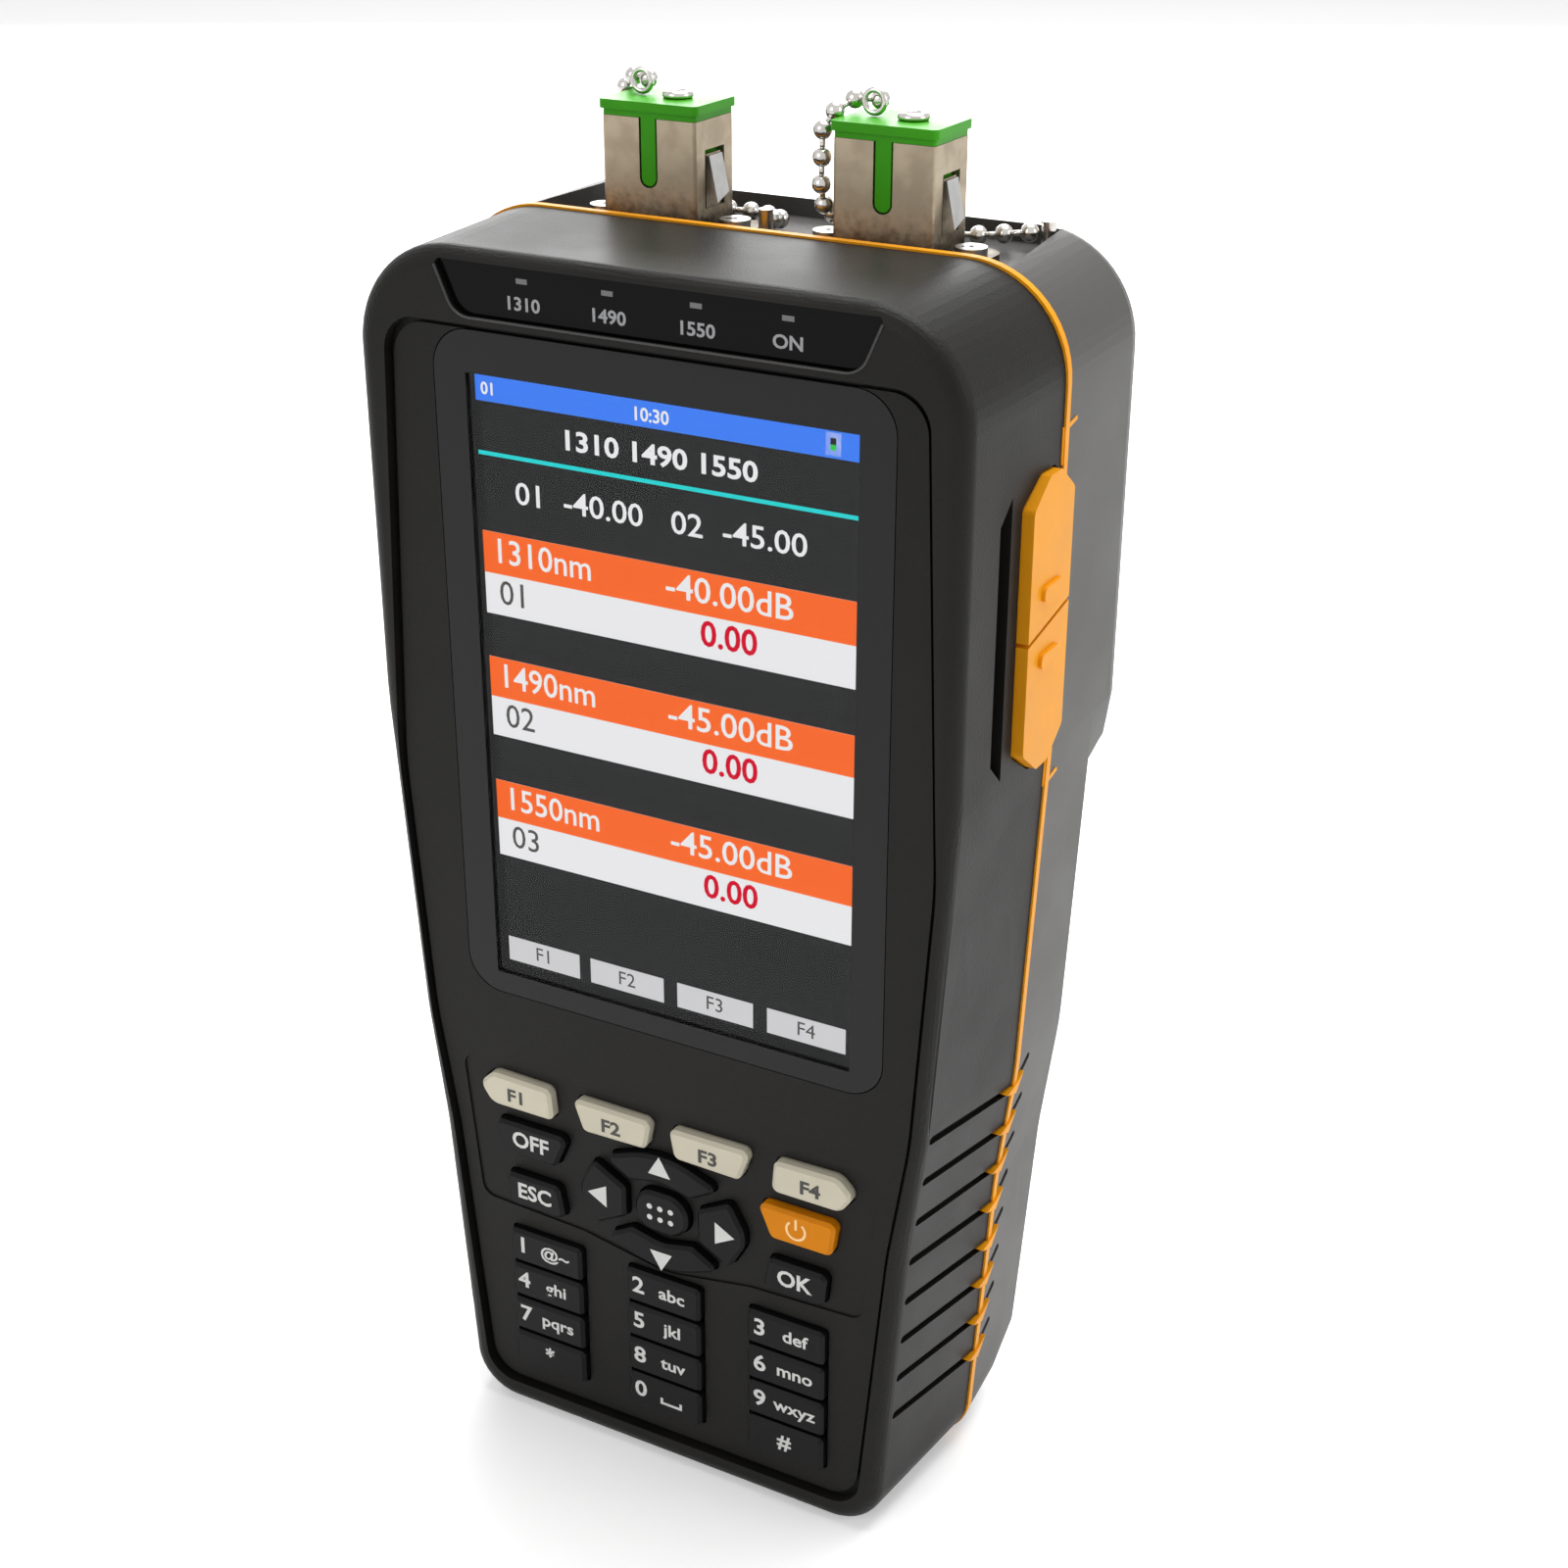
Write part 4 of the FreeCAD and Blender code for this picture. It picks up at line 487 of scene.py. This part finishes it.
field("picture_soft_keys", SCREEN_GREY,
      [(left, left + SOFT_WIDE, SOFT_LOW, SOFT_HIGH) for left in SOFT_LEFTS], 2)
# The battery sign is a white case with an empty room over its green charge.
for name, finish, box, layer in (
        ("case", SCREEN_WHITE, (21.9, 23.8, 147.1, 149.7), 2),
        ("room", SCREEN_DARK, (22.5, 23.2, 148.35, 149.1), 3),
        ("charge", SCREEN_GREEN, (22.5, 23.2, 147.7, 148.35), 3)):
    field("picture_battery_" + name, finish, [box], layer)

# %% [markdown]
# ## Numbers on the picture
# Plain numbers stand in the places of the readings.  Lettering could be cut into the
# mesh below, but Blender sets type as a curve, which turns into a thin mesh of its own.
# The mesh is made first and put in its place afterwards.

# %% Lettering
CAPITAL_SHARE, PRINT_THICK = 0.72, 0.012


def mesh_of(curve):
    """The mesh that a curve or a line of lettering makes."""
    holder = bpy.data.objects.new(curve.name + "_curve", curve)
    bpy.context.scene.collection.objects.link(holder)
    bpy.context.view_layer.update()
    data = bpy.data.meshes.new_from_object(holder)
    bpy.data.objects.remove(holder)
    return data


def words(name, text, x, z, front, high, finish, body="meter",
          align="CENTER", bold=0.0, wide=1.0):
    """Flat lettering that faces the front; high is the height of a capital."""
    curve = bpy.data.curves.new(name, "FONT")
    curve.body = text
    curve.align_x = align
    curve.align_y = "CENTER"
    curve.size = high / CAPITAL_SHARE * MM
    curve.extrude = PRINT_THICK * MM
    curve.offset = bold * MM
    curve.resolution_u = 3
    data = mesh_of(curve)
    data.transform(Matrix.Translation(Vector((x, front, z)) * MM)
                   @ Matrix.Rotation(math.radians(90), 4, "X")
                   @ Matrix.Diagonal((wide, 1, 1, 1)))
    return placed(name, data, finish, body)


# %% Screen numbers
TEXT_Y = SCREEN_Y - LAYER * 4
WAVES, LEVELS = ("1310", "1490", "1550"), ("-40.00", "-45.00", "-45.00")
READING_HIGH, READING_X, READING_LIFT, GRADE_LIFT = 3.2, 9.6, 0.2, 0.3
WAVE_INDENT, PORT_INDENT, SOFT_LEVEL, SOFT_TEXT_HIGH = 1.3, 2.0, 73.5, 2.0


def reading(name, text, x, z, high, finish, align="CENTER", bold=0.0, wide=1.0):
    words("picture_" + name, text, x, z, TEXT_Y, high, finish,
          align=align, bold=bold, wide=wide)


# Each number above the rows has its middle, its level, its height, how bold and how wide
# it is.
for name, text, x, level, high, bold, wide in (
        ("clock", "10:30", -0.4, 148.2, 1.6, 0.04, 1.0),
        ("page", "01", -22.6, 148.3, 1.5, 0.04, 1.0),
        ("title", "1310 1490 1550", 0.4, 143.6, 2.4, 0.08, 1.2),
        ("limits", "01  -40.00   02  -45.00", 0.2, 136.0, 2.8, 0.03, 1.12)):
    reading(name, text, x, level, high, SCREEN_WHITE, bold=bold, wide=wide)
for row, (top, wave, level) in enumerate(zip(READING_TOPS, WAVES, LEVELS)):
    bar, white = top - BAR_HIGH / 2, top - BAR_HIGH * 1.5
    reading(f"wave_{row}", wave + "nm", LEFT + WAVE_INDENT, bar + READING_LIFT,
            READING_HIGH, SCREEN_WHITE, "LEFT", bold=0.03, wide=0.98)
    reading(f"level_{row}", level + "dB", READING_X, bar + READING_LIFT, READING_HIGH,
            SCREEN_WHITE, bold=0.03, wide=1.06)
    reading(f"port_{row}", f"0{row + 1}", LEFT + PORT_INDENT, white + READING_LIFT,
            READING_HIGH, INK_DARK, "LEFT")
    reading(f"grade_{row}", "0.00", READING_X, white + GRADE_LIFT, READING_HIGH,
            SCREEN_RED, bold=0.08)
for number, left in enumerate(SOFT_LEFTS, start=1):
    reading(f"soft_{number}", f"F{number}", left + SOFT_WIDE / 2, SOFT_LEVEL,
            SOFT_TEXT_HIGH, INK_DARK)

# %% [markdown]
# ## Legends on the window
# Four small marks are printed in front of the light guides, each over its number.  They
# could be holes, but the real window is one unbroken strip that is only printed.

# %% Window legends
window_low, window_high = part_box("led_window")
LEGEND_PROUD, GUIDE_HALF = 0.02, 0.8
MARK_HALF, MARK_LOW, MARK_HIGH, NUMBER_LEVEL, NUMBER_HIGH = 0.75, 161.7, 162.3, 159.3, 1.55
WINDOW_Y = window_low.y / MM - LEGEND_PROUD
guide_low, guide_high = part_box("indicator_leds")
LED_LEFT, LED_RIGHT = guide_low.x / MM + GUIDE_HALF, guide_high.x / MM - GUIDE_HALF
marks = bmesh.new()
for step, label in enumerate((*WAVES, "ON")):
    x = LED_LEFT + (LED_RIGHT - LED_LEFT) * step / 3
    add_slab(marks, x - MARK_HALF, x + MARK_HALF, MARK_LOW, MARK_HIGH, WINDOW_Y)
    words(f"window_number_{step}", label, x, NUMBER_LEVEL, WINDOW_Y, NUMBER_HIGH,
          INK_DIM, bold=0.05, wide=1.12)
piece("window_marks", marks, INK_MARK)

# %% [markdown]
# ## Legends on the keys
# The legends are printed on the rubber.  Each is a piece of its own that rides on its
# key, so it goes down with it.

# %% Key lettering
PRINT_PROUD = 0.015
KEY_WORDS = {
    "key_f1": "F1", "key_f2": "F2", "key_f3": "F3", "key_f4": "F4", "key_off": "OFF",
    "key_escape": "ESC", "key_ok": "OK", "key_star": "*", "key_hash": "#",
}
PHONE_LETTERS = {"1": "@~", "2": "abc", "3": "def", "4": "ghi", "5": "jkl", "6": "mno",
                 "7": "pqrs", "8": "tuv", "9": "wxyz", "0": ""}
# Ways to set type: shift to the right, lift, height, how bold and how wide.
ON_CREAM, ON_BLACK = (0.0, -0.35, 1.95, 0.08, 1.15), (0.0, 0.1, 2.4, 0.08, 1.0)
DIGIT, LETTERS = (-3.7, 0.3, 2.55, 0.07, 1.1), (1.5, 0.25, 1.9, 0.05, 1.12)


def key_front(key):
    """Middle x, print's y and middle z of a key."""
    low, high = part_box(key)
    return (low.x + high.x) / 2 / MM, low.y / MM - PRINT_PROUD, (low.z + high.z) / 2 / MM


def legend(name, key, text, way):
    """Lettering on a key: dark on a cream one, light on any other."""
    shift, lift, high, bold, wide = way
    x, front, level = key_front(key)
    cream = key.startswith("key_f")
    words(name, text, x + shift, level + lift, front, high,
          INK_DARK if cream else INK_LIGHT, key,
          bold=bold, wide=wide)


for key, text in KEY_WORDS.items():
    legend(key + "_legend", key, text, ON_CREAM if key.startswith("key_f") else ON_BLACK)
for digit, letters in PHONE_LETTERS.items():
    legend(f"key_{digit}_legend", "key_" + digit, digit, DIGIT)
    if letters:
        legend(f"key_{digit}_letters", "key_" + digit, letters, LETTERS)

# %% [markdown]
# ## Arrows and dots on the keys
# Four keys have an arrow and one has six dots.  Type has such signs, but a circle with
# three corners is a ready arrow, and one with twelve is a dot.


# %% Flat shapes
def flat_shape(mesh, sides, radius, x, z, front, angle=0):
    """A flat regular shape facing the front, turned by an angle in degrees."""
    made = bmesh.ops.create_circle(mesh, cap_ends=True, segments=sides,
                                   radius=radius * MM)["verts"]
    for turn, axis in ((angle, "Z"), (90, "X")):
        bmesh.ops.rotate(mesh, verts=made, cent=(0, 0, 0),
                         matrix=Matrix.Rotation(math.radians(turn), 3, axis))
    bmesh.ops.translate(mesh, verts=made, vec=Vector((x, front, z)) * MM)


# %% Arrows
ARROW_RADIUS = 1.95
for way, angle, shift, lift in (("up", 0, 0, 0.6), ("down", 180, 0, -0.6),
                                ("left", 90, -0.2, 0), ("right", -90, 0.2, 0)):
    key = "key_" + way
    x, front, level = key_front(key)
    arrow = bmesh.new()
    flat_shape(arrow, 3, ARROW_RADIUS, x + shift, level + lift, front, angle)
    piece(key + "_arrow", arrow, INK_LIGHT, key)

# %% Menu dots
DOT_RADIUS, DOT_PITCH_X, DOT_PITCH_Z = 0.42, 1.6, 1.7
x, front, level = key_front("key_menu")
dots = bmesh.new()
for column in (-1, 0, 1):
    for row in (-0.5, 0.5):
        flat_shape(dots, 12, DOT_RADIUS, x + column * DOT_PITCH_X,
                   level + row * DOT_PITCH_Z, front)
piece("key_menu_dots", dots, INK_LIGHT, "key_menu")

# %% [markdown]
# ## Power sign and space mark
# The power sign is a ring with a gap at its top and an upright line in the gap: a short
# edge spun most of the way round makes the ring.  The space mark is a low bracket that
# opens upwards, which three slabs make.

# %% Power sign
POWER_RADIUS, POWER_LINE, POWER_FOOT, POWER_TIP = 1.5, 0.34, 0.1, 1.7
POWER_HALF_GAP, SIGN_THICK = math.radians(40), 0.01
x, front, level = key_front("key_power")
sign = bmesh.new()
middle = Vector((x, front, level)) * MM
aside = Vector((math.sin(POWER_HALF_GAP), 0, math.cos(POWER_HALF_GAP))) * MM
ends = [sign.verts.new(middle + aside * radius)
        for radius in (POWER_RADIUS - POWER_LINE, POWER_RADIUS)]
bmesh.ops.spin(sign, geom=[*ends, sign.edges.new(ends)], cent=middle, axis=(0, 1, 0),
               dvec=(0, 0, 0), angle=math.tau - POWER_HALF_GAP * 2, steps=28)
add_slab(sign, x - POWER_LINE / 2, x + POWER_LINE / 2, level + POWER_FOOT,
         level + POWER_TIP, front, SIGN_THICK)
piece("key_power_sign", sign, INK_WARM, "key_power")

# %% Space mark
x, front, level = key_front("key_0")
space = bmesh.new()
for left, right, foot, tip in ((-0.6, 2.8, -0.95, -0.55), (-0.6, -0.2, -0.55, 0.1),
                               (2.4, 2.8, -0.55, 0.1)):
    add_slab(space, x + left, x + right, level + foot, level + tip, front, SIGN_THICK)
piece("key_0_space", space, INK_LIGHT, "key_0")

# %% [markdown]
# ## Trim on the band
# Beside the socket cover the rubber band is wider, and at the end of each wide stretch
# a small tab runs back from it.  The band itself comes from the frame, so what it lacks
# is laid on the side as thin strips.

# %% Band trim
STRIP_THICK, BAND_STRETCH_WIDE = 0.22, 1.9
TAB_WIDE, TAB_START, TAB_END, TAB_RISE = 0.5, 0.5, 3.2, 0.5


def side_strip(mesh, start, end, wide):
    """A strip on the right side between two points, at the face's own x."""
    start, end = Vector(start), Vector(end)
    turn = Vector((0, 1, 0)).rotation_difference((end - start).normalized()).to_matrix()
    add_block(mesh, (STRIP_THICK, (end - start).length, wide), turn, (start + end) / 2)


trim = bmesh.new()
# Each stretch has a face x and a level at its foot and at its top, and its tab's level.
for foot_x, foot, top_x, top, tab in ((41.3, 143.2, 41.3, 147.6, 147.3),
                                      (41.12, 103.0, 41.3, 107.6, 103.3)):
    side_strip(trim, (foot_x, 0, foot), (top_x, 0, top), BAND_STRETCH_WIDE)
    face = (foot_x + top_x) / 2
    side_strip(trim, (face, TAB_START, tab), (face, TAB_END, tab + TAB_RISE), TAB_WIDE)
piece("band_side_trim", trim, BAND)

# %% [markdown]
# ## Rim of the indicator window
# The lower edge of the sunken window and its two slanted ends have a fine rounded rim,
# which catches a little light.  Its colour is the shell's made lighter, a painted
# highlight over the light that the round section really catches.  A bevel on the shell
# could give it, but the shell is the frame's, so the rim is a curve with a round section,
# made a mesh.


# %% Bends
def bend(before, corner, after, radius, steps=8):
    """Points of the arc that rounds a corner between its two neighbours."""
    back, ahead = (before - corner).normalized(), (after - corner).normalized()
    half = back.angle(ahead) / 2
    centre = corner + (back + ahead).normalized() * (radius / math.sin(half))
    run = radius / math.tan(half)
    first, last = ((corner + way * run - centre).normalized() for way in (back, ahead))
    return [centre + first.slerp(last, step / steps) * radius for step in range(steps + 1)]


# %% Window rim
RIM_RADIUS, RIM_OUT, RIM_Y = 0.18, 0.05, -23.6
RIM_LOW_HALF, RIM_LOW, RIM_BEND = 26.1, 157.2, 3.0
RIM_HIGH_HALF, RIM_HIGH = 28.6, 162.9
# The rim's colour is lighter than the shell's: a painted highlight.
RIM_PAINTED_HIGHLIGHT = moulded("shell_rim_painted_highlight", (0.016, 0.015, 0.014), 0.32, depth=0, shine=0.45)
window_middle = (window_low.x + window_high.x) / 2 / MM
left_high, left_low, right_low, right_high = (
    Vector((window_middle + side * (half + RIM_OUT), RIM_Y, level))
    for side, half, level in ((-1, RIM_HIGH_HALF, RIM_HIGH), (-1, RIM_LOW_HALF, RIM_LOW),
                              (1, RIM_LOW_HALF, RIM_LOW), (1, RIM_HIGH_HALF, RIM_HIGH)))
rim_path = [left_high, *bend(left_high, left_low, right_low, RIM_BEND),
            *bend(left_low, right_low, right_high, RIM_BEND), right_high]
rim_curve = bpy.data.curves.new("window_rim", "CURVE")
rim_curve.dimensions = "3D"
rim_curve.bevel_depth = RIM_RADIUS * MM
rim_curve.bevel_resolution = 3
rim_curve.use_fill_caps = True
rim_line = rim_curve.splines.new("POLY")
rim_line.points.add(len(rim_path) - 1)
for point, place in zip(rim_line.points, rim_path):
    point.co = (*(place * MM), 1.0)
rim = mesh_of(rim_curve)
rim.polygons.foreach_set("use_smooth", [True] * len(rim.polygons))
placed("window_rim", rim, RIM_PAINTED_HIGHLIGHT, "meter")

# %% [markdown]
# ## Cross slots
# The screws of the adapters and of the battery door have cross slots.  A slot is dark
# because it is deep and narrow, so two flat dark bars stand for it as painted shade.  It
# could be cut into the head, but at this size the bars look the same.

# %% Screw slots
SLOT_THICK, SLOT_PROUD, SLOT_TURN = 0.02, 0.005, 25.0
ADAPTER_SLOT, ADAPTER_SCREW_HALF = (2.3, 0.48), 9.3
DOOR_SLOT, DOOR_HEAD_RADIUS = (1.5, 0.34), 1.15


def cross_slots(name, centres, size, normal):
    """Two dark bars of painted shade across each screw head, which faces along the normal."""
    bars = bmesh.new()
    facing = Vector((0, 0, 1)).rotation_difference(Vector(normal)).to_matrix()
    turn = facing @ Matrix.Rotation(math.radians(SLOT_TURN), 3, "Z")
    for centre in centres:
        for wide, high in (size, size[::-1]):
            add_block(bars, (wide, high, SLOT_THICK), turn, centre)
    piece(name, bars, WINDOW)


screw_low, screw_high = (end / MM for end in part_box("adapter_screws"))
PORT_Y = (screw_low.y + screw_high.y) / 2
PORTS = {side: sum(end.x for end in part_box("adapter_" + side)) / 2 / MM
         for side in ("left", "right")}
cross_slots("adapter_screw_slot_shade",
            [(port_x + way * ADAPTER_SCREW_HALF, PORT_Y, screw_high.z + SLOT_PROUD)
             for port_x in PORTS.values() for way in (-1, 1)],
            ADAPTER_SLOT, (0, 0, 1))
door_low, door_high = (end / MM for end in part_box("battery_door_screws"))
cross_slots("door_screw_slot_shade",
            [(x, door_high.y + SLOT_PROUD, up)
             for x in (door_low.x + DOOR_HEAD_RADIUS, door_high.x - DOOR_HEAD_RADIUS)
             for up in (door_low.z + DOOR_HEAD_RADIUS, door_high.z - DOOR_HEAD_RADIUS)],
            DOOR_SLOT, (0, 1, 0))

# %% [markdown]
# ## Spring latches
# In each side window of an adapter a spring tongue leans outwards: it is fixed at the top
# and its free lower end is cut on a slant.  It is bent sheet, so a thin block is enough:
# its rear lower corners are raised, and then it is tilted.

# %% Latches
PORT_HALF, LATCH_TOP, LATCH_LONG, LATCH_THICK = 6.5, 171.7, 5.6, 0.3
LATCH_HALF, LATCH_CUT, LATCH_LEAN = 1.55, 0.9, 12.0
for side, port_x in PORTS.items():
    tongues = bmesh.new()
    for way in (-1, 1):
        made = add_block(tongues, (LATCH_THICK, LATCH_HALF * 2, LATCH_LONG),
                         shift=(0, 0, -LATCH_LONG / 2))
        low_back = [corner for corner in made
                    if corner.co.z < -LATCH_LONG / 2 * MM and corner.co.y > 0]
        bmesh.ops.translate(tongues, verts=low_back, vec=(0, 0, LATCH_CUT * MM))
        bmesh.ops.rotate(tongues, verts=made, cent=(0, 0, 0),
                         matrix=Matrix.Rotation(math.radians(-LATCH_LEAN * way), 3, "Y"))
        bmesh.ops.translate(tongues, verts=made,
                            vec=Vector((port_x + way * PORT_HALF, PORT_Y, LATCH_TOP)) * MM)
    piece("adapter_latches_" + side, tongues, SPRING)

# %% [markdown]
# ## Bead chains
# A ball chain is hollow beads on short wires.  Beads could be copied along a curve, but
# here they are set an even pitch apart along the path of the frame's own chain, so the
# lengths agree.

# %% Paths of the chains
TRAY_Z, BLEND_LOW, BLEND_HIGH = 162.3, 2.5, 17.0
# Each path runs from the cap to the anchor, measured from the port's middle on the tray.
PATHS = {
    "left": [(-3.5, 1.5, 17.3), (-7.2, 3.2, 17.2), (-8.9, 4.6, 15.0), (-9.2, 4.6, 8.0),
             (-9.6, 5.2, 3.4), (-8.8, 7.0, 1.6), (-5.4, 7.4, 1.3), (9.0, 7.4, 1.3),
             (13.2, 4.6, 1.4), (13.6, 1.95, 2.0)],
    "right": [(-3.5, 1.5, 17.3), (-6.6, 1.0, 17.2), (-8.6, -3.0, 15.4), (-8.6, -3.4, 6.0),
              (-8.9, 0.5, 3.8), (-8.2, 6.4, 2.4), (-5.0, 7.4, 1.3), (6.0, 7.8, 1.4),
              (12.6, 9.3, 2.2)],
}

# %% Beads and wires
BEAD_RADIUS, BEAD_PITCH, WIRE_RADIUS = 1.15, 3.05, 0.35
# A step this much short of a whole pitch still counts as one.
PITCH_SLACK = 0.004


def bead_places(knots):
    """Points an even pitch apart along straight runs, from end to end."""
    total = sum((after - before).length for before, after in zip(knots, knots[1:]))
    pitch = total / round(total / BEAD_PITCH)
    places, left, here = [knots[0]], pitch, knots[0]
    for knot in knots[1:]:
        while (knot - here).length >= left - PITCH_SLACK:
            here = here + (knot - here).normalized() * left
            places.append(here)
            left = pitch
        left -= (knot - here).length
        here = knot
    return places


def along(mesh, start, end, radius, segments=12):
    """A round wire from one point to another."""
    made = bmesh.ops.create_cone(mesh, cap_ends=True, segments=segments, radius1=radius,
                                 radius2=radius, depth=(end - start).length)["verts"]
    turn = (end - start).to_track_quat("Z", "Y").to_matrix()
    bmesh.ops.rotate(mesh, verts=made, cent=(0, 0, 0), matrix=turn)
    bmesh.ops.translate(mesh, verts=made, vec=(start + end) / 2)


# %% Chains
for side, path in PATHS.items():
    port_x = PORTS[side]
    port = Vector((port_x, PORT_Y, TRAY_Z))
    places = bead_places([port + Vector(knot) for knot in path])
    chain = bmesh.new()
    for place in places:
        bmesh.ops.create_uvsphere(chain, u_segments=24, v_segments=14,
                                  radius=BEAD_RADIUS * MM,
                                  matrix=Matrix.Translation(place * MM))
    for first, second in zip(places, places[1:]):
        along(chain, first * MM, second * MM, WIRE_RADIUS * MM)
    strung = piece("bead_chain_" + side, chain, CHROME, None, smooth=True)
    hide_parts("chain_" + side)
    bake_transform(strung)
    print("beads on the", side, "chain:", len(places))

# %% [markdown]
# ## Rings and eyelets on the caps
# The ring is round wire: a circle spun about the ring's own middle.  The eyelet is a
# turned rivet, so its half section is spun about an upright axis.  A ready torus would
# do for the ring, but spinning makes both in one way.

# %% Rings and eyelets
RING_WIRE_RADIUS, WIRE_SIDES = 0.36, 12
# Half section of an eyelet: shares of its radius and of its height.
EYELET_SECTION = ((0.4, 0.1), (0.92, 0.0), (1.0, 0.3), (0.96, 0.7), (0.8, 0.95),
                  (0.62, 1.0), (0.5, 0.9), (0.42, 0.6))


def spun(section, centre, axis, steps=40):
    """Spins a closed line of points about an axis."""
    mesh = bmesh.new()
    line = [mesh.verts.new(point) for point in section]
    edges = [mesh.edges.new((line[i - 1], line[i])) for i in range(len(line))]
    bmesh.ops.spin(mesh, geom=[*line, *edges], cent=centre, axis=axis, dvec=(0, 0, 0),
                   angle=math.tau, steps=steps, use_merge=True)
    bmesh.ops.recalc_face_normals(mesh, faces=mesh.faces)
    return mesh


for side in PORTS:
    low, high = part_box("cap_ring_" + side)
    centre = (low + high) / 2
    wire = RING_WIRE_RADIUS * MM
    reach = (high.x - low.x) / 2 - wire
    section = [centre + Vector((reach + wire * math.cos(angle), wire * math.sin(angle), 0))
               for angle in (math.tau * step / WIRE_SIDES for step in range(WIRE_SIDES))]
    ring = piece("wire_ring_" + side, spun(section, centre, (0, 1, 0)), CHROME,
                 "cap_" + side, smooth=True)
    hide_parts("cap_ring_" + side)
    low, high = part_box("cap_eyelet_" + side)
    centre = (low + high) / 2
    wide, foot, tall = (high.x - low.x) / 2, low.z - centre.z, high.z - low.z
    section = [centre + Vector((wide * out, 0, foot + tall * up))
               for out, up in EYELET_SECTION]
    eyelet = piece("rivet_eyelet_" + side, spun(section, centre, (0, 0, 1)), CHROME,
                   "cap_" + side, smooth=True)
    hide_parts("cap_eyelet_" + side)

# %% [markdown]
# ## Floor
# The meter stands on plain pale paper, whose shadows show that it stands.  The floor
# glows where it is looked at, so it stays white without lighting the meter.


# %% What is looked at
def seen_rays(shading):
    """One where the camera or a mirror image looks at the surroundings, else nought."""
    rays = shading.node("LightPath").outputs
    seen = sum(Field(shading, rays[f"Is {kind} Ray"])
               for kind in ("Camera", "Glossy", "Transmission"))
    return seen.clamped(0.0, 1.0)


# %% Floor
FLOOR_HALF_METRES, FLOOR_GLOW = 6.0, 0.3
floor_mesh = bmesh.new()
bmesh.ops.create_grid(floor_mesh, x_segments=1, y_segments=1, size=FLOOR_HALF_METRES)
PAPER = matt("floor_pale_paper", (0.86, 0.86, 0.86), 0.9, grain=30.0, spread=0.05)
PAPER.set("Emission Color", (1.0, 1.0, 1.0, 1.0))
PAPER.set("Emission Strength", seen_rays(PAPER) * FLOOR_GLOW)
piece("studio_floor", floor_mesh, PAPER, None)

# %% [markdown]
# ## Lamps and surroundings
# Large soft lamps stand above, behind, to the right and in front, so the face stays
# dark, the right side is lighter and the head's top is the lightest.  Small lamps would
# give hard shadows and sharp glints.  The surroundings look white but light the meter
# only a little, because full white would grey its dark face.

# %% Lamps
meter_middle = (cad_low + cad_high) / 2


def lamp(name, place, size, power):
    """A round soft lamp that faces the meter; place and size are in metres."""
    data = bpy.data.lights.new(name, "AREA")
    data.shape = "DISK"
    data.size = size
    data.energy = power
    made = bpy.data.objects.new(name, data)
    made.location = place
    aim = (meter_middle - Vector(place)).to_track_quat("-Z", "Y")
    made.rotation_euler = aim.to_euler()
    bpy.context.scene.collection.objects.link(made)
    print(f"{name}: {power} W")


lamp("lamp_above", (0.05, 0.35, 1.3), 1.1, 21.0)
lamp("lamp_behind", (-0.62, 1.12, 0.50), 0.9, 8.0)
lamp("lamp_right", (1.3, 0.2, 0.6), 0.8, 4.5)
lamp("lamp_front", (-0.5, -1.4, 0.8), 1.0, 6.0)

# %% Surroundings
AMBIENT = 0.42
world = bpy.data.worlds.new("studio_world")
world.use_nodes = True
sky = Shading(world.node_tree)
background = world.node_tree.nodes["Background"].inputs
sky.feed(background["Color"], (1, 1, 1, 1))
sky.feed(background["Strength"], AMBIENT + (1 - AMBIENT) * seen_rays(sky))
bpy.context.scene.world = world
bpy.context.scene.view_settings.view_transform = "Standard"

# %% [markdown]
# ## Camera
# The camera stands in front, to the right and a little above, where the meter shows its
# face, its right side and its top at once.  It is aimed by its own three angles rather
# than at a point, so that it can lean a little.

# %% Camera
# Place in metres, lens and sensor in millimetres.
CAMERA_PLACE, LENS, SENSOR = (0.13649, -0.24249, 0.22485), 54.43, 36.0
YAW, PITCH, ROLL = math.radians(28.40), math.radians(25.25), math.radians(-0.18)
camera_data = bpy.data.cameras.new("camera")
camera_data.lens = LENS
camera_data.sensor_width = SENSOR
camera_data.clip_start = 0.01
camera = bpy.data.objects.new("camera", camera_data)
camera.location = CAMERA_PLACE
forward = Vector((-math.sin(YAW) * math.cos(PITCH), math.cos(YAW) * math.cos(PITCH),
                  -math.sin(PITCH)))
aim = forward.to_track_quat("-Z", "Y").to_matrix() @ Matrix.Rotation(-ROLL, 3, "Z")
camera.rotation_euler = aim.to_euler()
bpy.context.scene.collection.objects.link(camera)
bpy.context.scene.camera = camera
print("camera looks along:", [round(part, 3) for part in forward])
